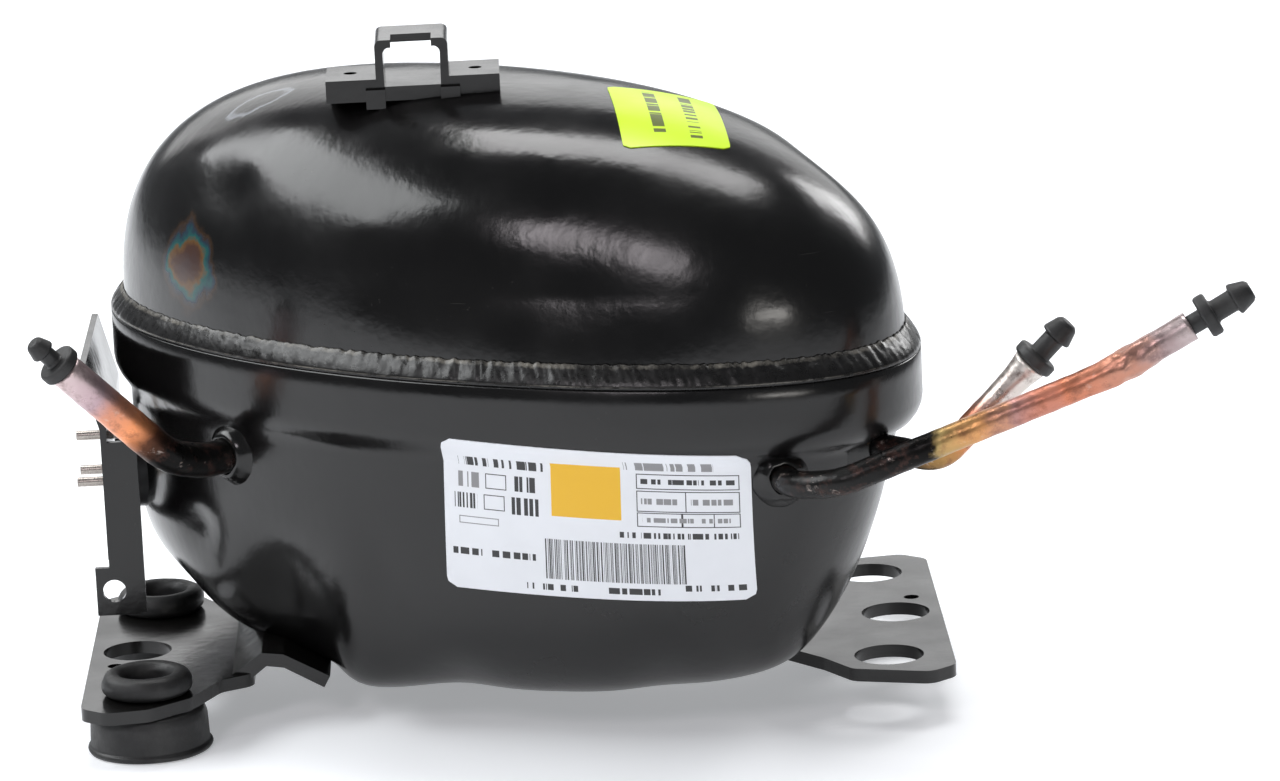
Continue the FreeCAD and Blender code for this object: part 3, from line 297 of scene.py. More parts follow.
def tinted_copper(name, stops, blotch=0.5):
    """Copper drawn through heat colours along its length, under flux stains."""
    s = Shade(name)
    along = s.node("Attribute", attribute_name="along").outputs["Fac"]
    shift = s.maths("MULTIPLY", s.maths("SUBTRACT", s.noise(130, 4), 0.5), 0.16)
    colour = s.ramp(s.maths("ADD", along, shift), stops)
    stain = s.ramp(s.noise(260, 5, 0.7), [(0.50, 0.0), (0.68, blotch)])
    colour = s.mix(stain, colour, (0.10, 0.045, 0.035))
    pale = s.ramp(s.noise(190, 5, 0.75, stretch=(1.0, 1.0, 1.6)), [(0.60, 0.0), (0.72, blotch)])
    colour = s.mix(pale, colour, (0.62, 0.52, 0.47))
    s.set("Base Color", colour)
    s.set("Metallic", s.ramp(along, [(stops[0][0], 0.0), (min(stops[1][0], 0.98), 0.85)]))
    s.set("Roughness", s.ramp(s.noise(200, 4), [(0.3, 0.24), (0.75, 0.5)]))
    low = s.bump(s.noise(110, 3), 0.3, 0.0012)
    s.bump(s.noise(900, 3), 0.25, 0.0003, low)
    return s.material


def metal(name, base, roughness=(0.25, 0.42), grain=(1.0, 1.0, 14.0), metallic=1.0, spread=0.6):
    """Machined or drawn metal with fine lines and a little colour variation."""
    s = Shade(name)
    line = s.noise(700, 3, 0.6, stretch=grain)
    cloud = s.noise(45, 4)
    dark = tuple(channel * spread for channel in base)
    s.set("Base Color", s.mix(s.ramp(cloud, [(0.35, 0.0), (0.75, 1.0)]), base, dark))
    s.set("Metallic", metallic)
    s.set("Roughness", s.ramp(line, [(0.3, roughness[0]), (0.7, roughness[1])]))
    s.bump(line, 0.15, 0.0002)
    return s.material


def casting(name, base):
    """Sand-cast iron with machined sheen worn in."""
    s = Shade(name)
    grain = s.noise(600, 4, 0.7)
    s.set("Base Color", s.mix(s.ramp(grain, [(0.35, 0.0), (0.7, 1.0)]), base,
                              tuple(channel * 0.5 for channel in base)))
    s.set("Metallic", 0.75)
    s.set("Roughness", s.ramp(grain, [(0.3, 0.42), (0.7, 0.62)]))
    s.bump(grain, 0.35, 0.0004)
    return s.material


def plastic(name, base, roughness=0.4):
    """Moulded plastic with a fine texture."""
    s = Shade(name)
    cloud = s.noise(70, 4)
    s.set("Base Color", s.mix(s.ramp(cloud, [(0.4, 0.0), (0.8, 1.0)]), base,
                              tuple(channel * 0.8 for channel in base)))
    s.set("Roughness", s.ramp(s.noise(300, 2), [(0.3, roughness), (0.7, roughness + 0.12)]))
    s.bump(s.noise(1300, 2), 0.15, 0.0002)
    return s.material


def winding(name):
    """Enamelled copper wire laid side by side."""
    s = Shade(name)
    wave = s.node("TexWave", {"Vector": s.place(), "Scale": 420, "Distortion": 1.5, "Detail": 2},
                  bands_direction="Z").outputs["Fac"]
    s.set("Base Color", s.mix(wave, (0.20, 0.05, 0.018), (0.55, 0.20, 0.075)))
    s.set("Metallic", 0.7)
    s.set("Roughness", s.ramp(wave, [(0.2, 0.22), (0.8, 0.4)]))
    s.bump(wave, 0.6, 0.0006)
    return s.material


def laminated(name):
    """Stacked electrical steel: fine lines across Z."""
    s = Shade(name)
    wave = s.node("TexWave", {"Vector": s.place(), "Scale": 320, "Distortion": 0.3, "Detail": 1},
                  bands_direction="Z").outputs["Fac"]
    s.set("Base Color", s.mix(wave, (0.10, 0.105, 0.115), (0.34, 0.34, 0.35)))
    s.set("Metallic", 0.9)
    s.set("Roughness", s.ramp(s.noise(200, 3), [(0.3, 0.35), (0.7, 0.55)]))
    s.bump(wave, 0.4, 0.0003)
    return s.material


def glass(name):
    """Fused glass bead, dark green, with fine bubbles."""
    s = Shade(name)
    s.set("Base Color", s.ramp(s.noise(700, 3), [(0.4, (0.02, 0.05, 0.045)),
                                                (0.7, (0.07, 0.13, 0.115))]))
    s.set("Roughness", s.ramp(s.noise(500, 2), [(0.3, 0.06), (0.7, 0.16)]))
    s.surface.inputs["Coat Weight"].default_value = 0.5
    return s.material


def printed(name, paper, ink, marks, width, height, gloss=0.34):
    """A printed sheet. Each mark is a box in millimetres with a kind and a strength."""
    s = Shade(name)
    uv = s.node("TexCoord").outputs["UV"]
    parts = s.node("SeparateXYZ", {"Vector": uv})
    u = s.maths("MULTIPLY", parts.outputs["X"], width)
    v = s.maths("MULTIPLY", parts.outputs["Y"], height)

    def inside(value, low, high):
        return s.maths("MULTIPLY", s.maths("GREATER_THAN", value, low),
                       s.maths("LESS_THAN", value, high))
    mottle = s.noise(90, 4)
    colour = s.mix(s.ramp(mottle, [(0.4, 0.0), (0.8, 0.35)]), paper,
                   tuple(channel * 0.88 for channel in paper))
    for x0, y0, x1, y1, kind, tint in marks:
        mask = s.maths("MULTIPLY", inside(u, x0, x1), inside(v, y0, y1))
        if kind == "frame":
            line = 0.22
            core = s.maths("MULTIPLY", inside(u, x0 + line, x1 - line),
                           inside(v, y0 + line, y1 - line))
            mask = s.maths("SUBTRACT", mask, core, clamp=True)
        elif kind == "dashes":
            across = s.node("CombineXYZ", {"X": s.maths("MULTIPLY", u, 1.1), "Y": y0, "Z": x0})
            broken = s.node("TexNoise", {"Vector": across.outputs[0], "Scale": 1.0, "Detail": 1.0})
            mask = s.maths("MULTIPLY", mask, s.maths("GREATER_THAN", broken.outputs["Fac"], 0.47))
        elif kind == "upright_dashes":
            across = s.node("CombineXYZ", {"X": s.maths("MULTIPLY", v, 0.8), "Y": x0, "Z": y0})
            broken = s.node("TexNoise", {"Vector": across.outputs[0], "Scale": 1.0, "Detail": 1.0})
            mask = s.maths("MULTIPLY", mask, s.maths("GREATER_THAN", broken.outputs["Fac"], 0.46))
        elif kind == "bars":
            across = s.node("CombineXYZ", {"X": s.maths("MULTIPLY", u, 3.2), "Y": 3.0, "Z": 1.0})
            broken = s.node("TexNoise", {"Vector": across.outputs[0], "Scale": 1.0, "Detail": 2.0})
            mask = s.maths("MULTIPLY", mask, s.maths("GREATER_THAN", broken.outputs["Fac"], 0.5))
        colour = s.mix(mask, colour, tint or ink)
    s.set("Base Color", colour)
    s.set("Roughness", s.ramp(mottle, [(0.3, gloss), (0.7, gloss + 0.1)]))
    s.bump(s.noise(60, 3), 0.12, 0.0008)
    return s.material


# Mesh helpers -------------------------------------------------------------------------------

def finish_piece(name, verts, faces, material, body, replaces=(), sharp=None):
    """A piece from points and faces: named, shaded, riding on a body."""
    mesh = bpy.data.meshes.new(name)
    mesh.from_pydata([tuple(v) for v in verts], [], faces)
    mesh.validate()
    work = bmesh.new()
    work.from_mesh(mesh)
    bmesh.ops.recalc_face_normals(work, faces=work.faces)
    work.to_mesh(mesh)
    work.free()
    for face in mesh.polygons:
        face.use_smooth = True
    if sharp:
        mesh.set_sharp_from_angle(angle=math.radians(sharp))
    mesh.materials.append(material)
    piece = bpy.data.objects.new(name, mesh)
    bpy.context.scene.collection.objects.link(piece)
    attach(piece, body)
    if replaces:
        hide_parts(*replaces)
    return piece


def tube_faces(rows, columns, start=0):
    """Faces between rings of points, each ring closed."""
    faces = []
    for row in range(rows - 1):
        for column in range(columns):
            after = (column + 1) % columns
            a = start + row * columns
            b = a + columns
            faces.append((a + column, a + after, b + after, b + column))
    return faces


def lathe(profile, place, direction, segments=48, wobble=0.0, seed=0):
    """Points and faces of a closed outline turned about an axis: (radius, height) in mm."""
    turn = Vector(direction).to_track_quat("Z", "Y")
    verts = []
    for index in range(segments):
        angle = 2 * math.pi * index / segments
        for radius, height in profile:
            r = radius
            if wobble and radius > 0:
                spot = Vector((math.cos(angle) * 2 + seed, math.sin(angle) * 2, height * 0.35))
                r += wobble * noise.noise(spot)
            point = Vector((r * math.cos(angle), r * math.sin(angle), height)) * MM
            verts.append(turn @ point + Vector(place))
    count = len(profile)
    faces = []
    for index in range(segments):
        after = (index + 1) % segments
        for step in range(count):
            follow = (step + 1) % count
            faces.append((index * count + step, after * count + step,
                          after * count + follow, index * count + follow))
    return verts, faces


def soft_profile(corners, radius=0.35, steps=3):
    """An outline with its corners rounded; corners are (radius, height) in mm."""
    made = []
    count = len(corners)
    for index, (x, y) in enumerate(corners):
        here = Vector((x, y))
        before = Vector(corners[index - 1])
        after = Vector(corners[(index + 1) % count])
        reach = min(radius, (before - here).length * 0.45, (after - here).length * 0.45)
        start = here + (before - here).normalized() * reach
        end = here + (after - here).normalized() * reach
        for step in range(steps + 1):
            t = step / steps
            point = start * (1 - t) ** 2 + here * 2 * t * (1 - t) + end * t * t
            made.append((max(point.x, 0.0), point.y))
    return made


# Shell form ---------------------------------------------------------------------------------
# The same form as the solid shell, in millimetres, with the finer dents and lobes added.

SEAM = 78.0            # height of the seam above the plates' undersides
HALF_LENGTH = 93.4     # of the rim's outline
HALF_WIDTH = 66.0
PLAN_POWER = 2.12      # how square the outline is
SKEW = 0.42            # how far the outline leans, in Y per X
COVER_HEIGHT = 57.5
COVER_INSET = 3.35     # from the rim to the cover's wall
BOWL_DEPTH = 79.5
BOWL_INSET = 2.8       # from the rim band to the bowl's wall
WALL = 3.0
COVER_DENTS = [
    (Vector((22, -60, 100)), (24, 24, 24), 4.0),
    (Vector((84, -18, 118)), (13, 13, 13), 3.5),
    (Vector((-62, -11, 114)), (10, 10, 8), 1.5),
    (Vector((-14, -50, 98)), (22, 18, 12), 1.2),
]
BOWL_DENTS = [
    (Vector((-52, -20, 20)), (14, 15, 15), 5.0),
    (Vector((-66, 0, 10)), (14, 14, 14), -3.0),
    (Vector((-37, -35, 14)), (7, 14, 18), -2.6),
    (Vector((-29, -42, 25)), (4.5, 9, 11), 1.1),
    (Vector((-33, -34, 2)), (12, 16, 9), -3.2),
    (Vector((-73, -5, 34)), (5, 7, 5.5), 1.8),
    (Vector((-14, -46, 2)), (9, 18, 10), 1.4),
    (Vector((33, -58, 3)), (9, 18, 11), 1.6),
    (Vector((62, -50, 4)), (11, 16, 12), -1.6),
]


def plan_point(angle, grow):
    """A point of the outline, grown outwards."""
    reach = (abs(math.cos(angle)) / (HALF_LENGTH + grow)) ** PLAN_POWER
    reach += (abs(math.sin(angle)) / (HALF_WIDTH + grow)) ** PLAN_POWER
    radius = reach ** (-1 / PLAN_POWER)
    return radius * math.cos(angle), radius * math.sin(angle)


def skewed(x, y, z):
    return Vector((1.0 + x, y - SKEW * x, z))


def dented(point, dents):
    """Push a point inwards by each dent near it; the seam's surroundings stay true."""
    inward = (Vector((1.0, 0, SEAM)) - point).normalized()
    fade = min(abs(point.z - SEAM) / 20.0, 1.0)
    push = 0.0
    for place, radii, depth in dents:
        away = point - place
        reach = sum((away[axis] / radii[axis]) ** 2 for axis in range(3))
        if reach < 12:
            push += fade * depth * math.exp(-reach)
    return point + inward * push


def cover_point(angle, level, skin):
    """A point of the cover: level 0 at the seam, 1 at the crown; skin below 0 is inside."""
    power = 2.65 - 0.15 * math.cos(angle)
    across = (1 - level ** power) ** (1 / power)
    x, y = plan_point(angle, skin - COVER_INSET)
    lean = -11.0 * level * level
    height = SEAM + (COVER_HEIGHT + skin) * level
    point = skewed(x * across + lean * (1 - across), y * across, height)
    return dented(point, COVER_DENTS)


def bowl_point(angle, level, skin):
    """A point of the bowl: level 0 at the seam, 1 at the bottom; skin below 0 is inside."""
    right = (1 + math.cos(angle)) / 2
    taper = right * (0.1 * level + 0.165 * level * level)
    taper += (1 - right) * (0.065 * level - 0.12 * level * level)
    power = 7.0 * right + 4.5 * (1 - right)
    across = (1 - level ** power) ** (1 / power) * (1 - taper)
    x, y = plan_point(angle, skin - BOWL_INSET)
    raised = 12.0 * level * level / (1 + math.exp((x * across + 62.0) / 6.0))
    height = SEAM - (BOWL_DEPTH + skin - raised) * level
    point = skewed(x * across, y * across, height)
    return dented(point, BOWL_DENTS)


AROUND = 240           # points round the shell


def ring(point_at):
    """A closed ring of points round the shell, in metres."""
    return [point_at(2 * math.pi * step / AROUND) * MM for step in range(AROUND)]


def level_steps(count, power):
    """Levels from 0 to 1, spaced evenly along the curved wall."""
    levels = []
    for step in range(1, count + 1):
        turn = math.pi / 2 * step / (count + 0.02)
        levels.append(math.sin(turn) ** (2 / power))
    return levels


def close_end(verts, faces, first, height):
    """Close a shell's ring with a fan to its middle."""
    middle = Vector((0, 0, 0))
    for index in range(AROUND):
        middle += verts[first + index]
    middle /= AROUND
    middle.z = height
    verts.append(middle)
    apex = len(verts) - 1
    for index in range(AROUND):
        faces.append((first + index, first + (index + 1) % AROUND, apex))


def join_edges(faces, start):
    """Join the outer skin's first ring to the inner skin's."""
    for column in range(AROUND):
        after = (column + 1) % AROUND
        faces.append((column, after, start + after, start + column))


def make_cover(material):
    """The cover's outer and inner skin, joined at its lower edge."""
    foot = 72.3
    rings = [ring(lambda a, z=z: skewed(*plan_point(a, -COVER_INSET), z))
             for z in (foot, 75.0, SEAM)]
    for level in level_steps(70, 2.65):
        rings.append(ring(lambda a: cover_point(a, min(level, 0.99999), 0.0)))
    verts = [point for one in rings for point in one]
    faces = tube_faces(len(rings), AROUND)
    close_end(verts, faces, (len(rings) - 1) * AROUND, (SEAM + COVER_HEIGHT) * MM)
    start = len(verts)
    inner = [ring(lambda a, z=z: skewed(*plan_point(a, -COVER_INSET - WALL), z))
             for z in (foot, SEAM)]
    for level in level_steps(24, 2.65):
        inner.append(ring(lambda a: cover_point(a, min(level, 0.9999), -WALL)))
    verts += [point for one in inner for point in one]
    faces += tube_faces(len(inner), AROUND, start)
    close_end(verts, faces, start + (len(inner) - 1) * AROUND, (SEAM + COVER_HEIGHT - WALL) * MM)
    join_edges(faces, start)
    return finish_piece("cover_skin", verts, faces, material, "housing",
                        ["upper_shell"])


def make_bowl(material):
    """The bowl's outer and inner skin, joined at the rim."""
    band = [(-3.0, SEAM - 0.3), (-2.7, SEAM), (-0.4, SEAM), (0.0, SEAM - 0.5), (0.0, 74.0),
            (0.0, 70.0), (0.0, 67.0), (-0.25, 65.4), (-1.0, 63.6), (-2.2, 61.9)]
    rings = [ring(lambda a, g=g, z=z: skewed(*plan_point(a, g), z)) for g, z in band]
    first_level = (SEAM - 59.5) / BOWL_DEPTH
    levels = [first_level + (0.55 - first_level) * step / 16 for step in range(16)]
    for step in range(46):
        turn = step / 45.0
        levels.append(1 - (1 - 0.55) * (1 - turn) ** 2.2)
    for level in levels:
        rings.append(ring(lambda a: bowl_point(a, min(level, 0.99995), 0.0)))
    verts = [point for one in rings for point in one]
    faces = tube_faces(len(rings), AROUND)
    close_end(verts, faces, (len(rings) - 1) * AROUND, (SEAM - BOWL_DEPTH) * MM)
    start = len(verts)
    inner = [ring(lambda a, g=g, z=z: skewed(*plan_point(a, g), z))
             for g, z in [(-3.0, SEAM - 0.6), (-3.0, 68.0), (-5.8, 63.0)]]
    for level in [0.25, 0.35, 0.45, 0.55, 0.65, 0.75, 0.83, 0.9, 0.95, 0.98, 0.995, 0.9995]:
        inner.append(ring(lambda a: bowl_point(a, level, -WALL)))
    verts += [point for one in inner for point in one]
    faces += tube_faces(len(inner), AROUND, start)
    close_end(verts, faces, start + (len(inner) - 1) * AROUND, (SEAM - BOWL_DEPTH + WALL) * MM)
    join_edges(faces, start)
    return finish_piece("bowl_skin", verts, faces, material, "housing",
                        ["lower_shell"])


def make_bead(material):
    """The weld bead: a ragged fillet with ripples, a fine lip and a lump where it starts."""
    count = 900
    section = [(-0.15, 0.05), (-0.02, 0.5), (-0.35, 1.2), (-0.8, 2.0), (-1.3, 2.7), (-1.9, 3.5),
               (-2.6, 4.3), (-3.05, 4.9), (-3.32, 5.1), (-3.32, 0.05)]
    verts = []
    for index in range(count):
        angle = 2 * math.pi * index / count
        x, y = plan_point(angle, 0)
        along = Vector((x * 0.25, y * 0.25, 0))
        ripple = 0.30 * noise.noise(along * 1.6)
        ripple += 0.05 * math.sin(angle * 230 + 4 * noise.noise(along))
        start_lump = math.exp(-((math.degrees(angle) - 262) / 5.0) ** 2)
        for step, (grow, rise) in enumerate(section):
            share = min(rise / 5.0, 1.0)
            rough = ripple * math.sin(math.pi * min(max(share, 0.0), 1.0))
            rough += 0.35 * start_lump * math.sin(math.pi * share) * noise.noise(along * 6)
            px, py = plan_point(angle, grow + (rough if 0 < step < len(section) - 2 else 0))
            lift = rise
            if step in (6, 7, 8):
                lift += 0.5 * noise.noise(along * 3.1 + Vector((5, 0, 0)))
            verts.append(skewed(px, py, SEAM + lift) * MM)
    columns = len(section)
    faces = []
    for index in range(count):
        after = (index + 1) % count
        for step in range(columns):
            follow = (step + 1) % columns
            faces.append((index * columns + step, after * columns + step,
                          after * columns + follow, index * columns + follow))
    piece = finish_piece("bead_ring", verts, faces, material, "housing",
                         ["seam_weld_bead"])
    attribute = piece.data.attributes.new("across", "FLOAT", "POINT")
    shares = [min(max(rise / 5.1, 0.0), 1.0) for _, rise in section]
    attribute.data.foreach_set("value", shares * count)


# Tubes and plugs ----------------------------------------------------------------------------

def wall_spot(degrees, height):
    """A point of the bowl's wall and the outward direction, in millimetres."""
    angle = math.radians(degrees)
    level = (SEAM - height) / BOWL_DEPTH
    spot = bowl_point(angle, level, 0.0)
    along = bowl_point(angle + 0.01, level, 0.0) - bowl_point(angle - 0.01, level, 0.0)
    return spot, Vector((along.y, -along.x, 0)).normalized()


LINES = {
    "suction": (215.0, 53.7, 4.0, [(-77, -31.0, 57.2), (-98.5, -40, 81)]),
    "discharge": (322.2, 55.8, 3.1, [(72, -86.5, 57.5), (132.5, -88, 79.8), (150, -88, 89.5)]),
    "process": (341.2, 59.2, 3.1, [(95.5, -73.8, 58.6), (116, -74.5, 79.5)]),
}


def line_route(name):
    degrees, height, radius, corners = LINES[name]
    spot, outward = wall_spot(degrees, height)
    return [spot - outward * 9, spot + outward * 8] + [Vector(c) for c in corners]


def smooth_route(points, share=0.42, steps=10):
    """Points along straight runs joined by arcs."""
    made = [points[0]]
    for before, corner, after in zip(points, points[1:], points[2:]):
        into = corner - before
        out = after - corner
        reach = share * min(into.length, out.length)
        start = corner - into.normalized() * reach
        end = corner + out.normalized() * reach
        for step in range(steps + 1):
            t = step / steps
            made.append(start * (1 - t) ** 2 + corner * 2 * t * (1 - t) + end * t * t)
    made.append(points[-1])
    return made


def resampled(points, spacing):
    """The same line with evenly spaced points."""
    total = sum((b - a).length for a, b in zip(points, points[1:]))
    count = max(int(total / spacing), 2)
    made = [points[0].copy()]
    walked = 0.0
    target = total / count
    for a, b in zip(points, points[1:]):
        length = (b - a).length
        while walked + length >= target * len(made) and len(made) < count:
            t = (target * len(made) - walked) / length
            made.append(a.lerp(b, t))
        walked += length
    made.append(points[-1].copy())
    return made


def sweep(points, radius_at, inner_at, segments=32):
    """A tube along points; the last ring turns into the bore. Radii take a share of length."""
    count = len(points)
    up = Vector((0.3, 0.2, 1)).normalized()
    outer = []
    inner = []
    shares = []
    for index, point in enumerate(points):
        heading = (points[min(index + 1, count - 1)] - points[max(index - 1, 0)]).normalized()
        side = heading.cross(up).normalized()
        up = side.cross(heading).normalized()
        share = index / (count - 1)
        for step in range(segments):
            angle = 2 * math.pi * step / segments
            spoke = side * math.cos(angle) + up * math.sin(angle)
            rough = noise.noise(point * 0.4 + spoke * 1.5)
            outer.append((point + spoke * radius_at(share, rough)) * MM)
            inner.append((point + spoke * inner_at(share)) * MM)
            shares.append(share)
    verts = outer + inner
    faces = tube_faces(count, segments)
    start = len(outer)
    for a, b, c, d in tube_faces(count, segments, start):
        faces.append((d, c, b, a))
    for step in range(segments):
        after = (step + 1) % segments
        faces.append((after, step, start + step, start + after))
        last = (count - 1) * segments
        faces.append((last + step, last + after, start + last + after, start + last + step))
    return verts, faces, shares + shares


def add_along(piece, shares):
    """Store how far each point is along its tube."""
    attribute = piece.data.attributes.new("along", "FLOAT", "POINT")
    attribute.data.foreach_set("value", shares)


BLACK = (0.005, 0.0047, 0.0045)


def make_lines(shades):
    """The three copper stubs with their collars and plugs."""
    finishes = {
        "suction": [(0.0, BLACK), (0.50, BLACK), (0.58, (0.10, 0.04, 0.022)),
                    (0.66, (0.80, 0.30, 0.13)), (0.76, (0.62, 0.28, 0.19)),
                    (0.86, (0.46, 0.33, 0.36)), (1.0, (0.62, 0.50, 0.50))],
        "discharge": [(0.0, BLACK), (0.44, BLACK), (0.47, (0.42, 0.30, 0.12)),
                      (0.55, (0.62, 0.30, 0.12)), (0.62, (0.42, 0.22, 0.20)),
                      (0.72, (0.58, 0.20, 0.11)), (0.86, (0.50, 0.24, 0.17)),
                      (0.93, (0.36, 0.27, 0.27)), (1.0, (0.50, 0.42, 0.42))],
        "process": [(0.0, BLACK), (0.42, BLACK), (0.50, (0.35, 0.20, 0.07)),
                    (0.60, (0.55, 0.22, 0.09)), (0.72, (0.48, 0.20, 0.13)),
                    (0.82, (0.62, 0.54, 0.50)), (1.0, (0.72, 0.68, 0.64))],
    }
    for name, (degrees, height, radius, _) in LINES.items():
        route = resampled(smooth_route(line_route(name)), 0.9)
        flare = {"suction": 0.0, "discharge": 0.25, "process": 0.9}[name]
        lump = {"suction": 0.0, "discharge": 0.55, "process": 0.0}[name]

        def radius_at(share, rough):
            grown = radius + 0.10 * rough
            grown += flare * max(0.0, (share - 0.84) / 0.16) ** 2
            grown += lump * math.exp(-((share - 0.86) / 0.05) ** 2) * (1 + rough)
            return grown
        verts, faces, shares = sweep(route, radius_at, lambda share: radius - 0.8)
        copper = tinted_copper(name + "_copper", finishes[name], 0.75 if name == "process" else 0.5)
        tube = finish_piece(name + "_stub", verts, faces, copper, "housing",
                            [name + "_tube"])
        add_along(tube, shares)
        spot, outward = wall_spot(degrees, height)
        profile = soft_profile([(radius + 0.05, -3.0), (radius + 4.8, -3.0), (radius + 3.9, -1.0),
                                (radius + 2.6, 0.6), (radius + 1.7, 1.8), (radius + 0.9, 2.5),
                                (radius + 0.05, 2.6)], 0.5)
        verts, faces = lathe(profile, spot * MM, outward, 56, 0.35, degrees)
        finish_piece(name + "_weld", verts, faces, shades["collar"], "housing",
                     [name + "_collar"])
        end = route[-1]
        heading = line_route(name)[-1] - line_route(name)[-2]
        make_plug(name, end, heading, radius, shades["rubber"])


def make_plug(name, end, heading, radius, material):
    """A rubber plug: stem, flange with a rounded rim, neck, barb and blunt nose."""
    small = 0.8 if name == "suction" else 1.0
    start = 3.0 if name == "discharge" else 0.2
    stem = radius - 0.85
    neck = 2.5 * small
    barb = 3.6 * small
    profile = soft_profile([(0.0, -5.9), (stem - 0.1, -5.9), (stem, -5.2), (stem, start),
                            (4.5, start), (4.88, start + 0.5), (4.88, start + 2.3),
                            (4.5, start + 2.75), (neck + 0.3, start + 2.8),
                            (neck, start + 3.3), (neck, start + 7.6 * small),
                            (barb - 0.1, start + 7.9 * small), (barb, start + 8.4 * small),
                            (2.6 * small, start + 11.6 * small),
                            (1.9 * small, start + 12.3 * small),
                            (0.0, start + 12.35 * small)], 0.3)
    verts, faces = lathe(profile, end * MM, heading, 48, 0.05, radius)
    finish_piece(name + "_cap", verts, faces, material, name + "_plug",
                 [name + "_plug"])


def make_grommets(material):
    """The two fitted rubber grommets, with ragged bores."""
    profile = soft_profile([
        (5.2, -9.9), (13.9, -9.9), (14.4, -9.2), (14.2, -8.6), (13.7, -8.2), (13.4, -2.0),
        (12.9, -0.5), (12.0, -0.15), (7.9, -0.15), (7.9, 3.2), (9.3, 3.2), (10.3, 4.2),
        (10.4, 6.2), (9.7, 7.7), (8.2, 8.45), (6.6, 8.2), (5.6, 6.8), (5.3, 4.0), (5.6, 0.0)],
        0.6)
    for place, y in (("front", -35), ("rear", 35)):
        verts, faces = lathe(profile, (-85 * MM, y * MM, 0), (0, 0, 1), 72, 0.22, y)
        finish_piece("grommet_%s" % place, verts, faces, material, "housing",
                     ["grommet_%s_left" % place])


# Labels -------------------------------------------------------------------------------------

def rounded_patch(width, height, radius, columns, rows):
    """A grid over a rounded rectangle: points in mm from its centre, and shares for the print."""
    points = []
    for row in range(rows + 1):
        v = row / rows
        y = (v - 0.5) * height
        reach = width / 2
        beyond = abs(y) - (height / 2 - radius)
        if beyond > 0:
            reach -= radius - math.sqrt(max(radius * radius - beyond * beyond, 0.0))
        for column in range(columns + 1):
            u = column / columns
            x = (u - 0.5) * 2 * reach
            points.append((x, y, x / width + 0.5, y / height + 0.5))
    return points


def sheet_piece(name, points, columns, rows, place_at, thickness, material, node):
    """A thin printed sheet laid on a surface: place_at gives a point and its outward normal."""
    verts = []
    for x, y, _, _ in points:
        spot, out = place_at(x, y)
        verts.append((spot + out * thickness) * MM)
    for x, y, _, _ in points:
        spot, out = place_at(x, y)
        verts.append((spot - out * 0.15) * MM)
    count = len(points)
    wide = columns + 1
    faces = []
    for row in range(rows):
        for column in range(columns):
            a = row * wide + column
            faces.append((a, a + 1, a + wide + 1, a + wide))
            faces.append((count + a + wide, count + a + wide + 1, count + a + 1, count + a))
    edge = list(range(wide))
    edge += [row * wide + columns for row in range(1, rows + 1)]
    edge += [rows * wide + column for column in range(columns - 1, -1, -1)]
    edge += [row * wide for row in range(rows - 1, 0, -1)]
    for a, b in zip(edge, edge[1:] + edge[:1]):
        faces.append((b, a, count + a, count + b))
    piece = finish_piece(name, verts, faces, material, "housing", [node], 50)
    layer = piece.data.uv_layers.new(name="print")
    shares = [(u, v) for _, _, u, v in points] * 2
    for loop in piece.data.loops:
        layer.data[loop.index].uv = shares[loop.vertex_index]
    return piece


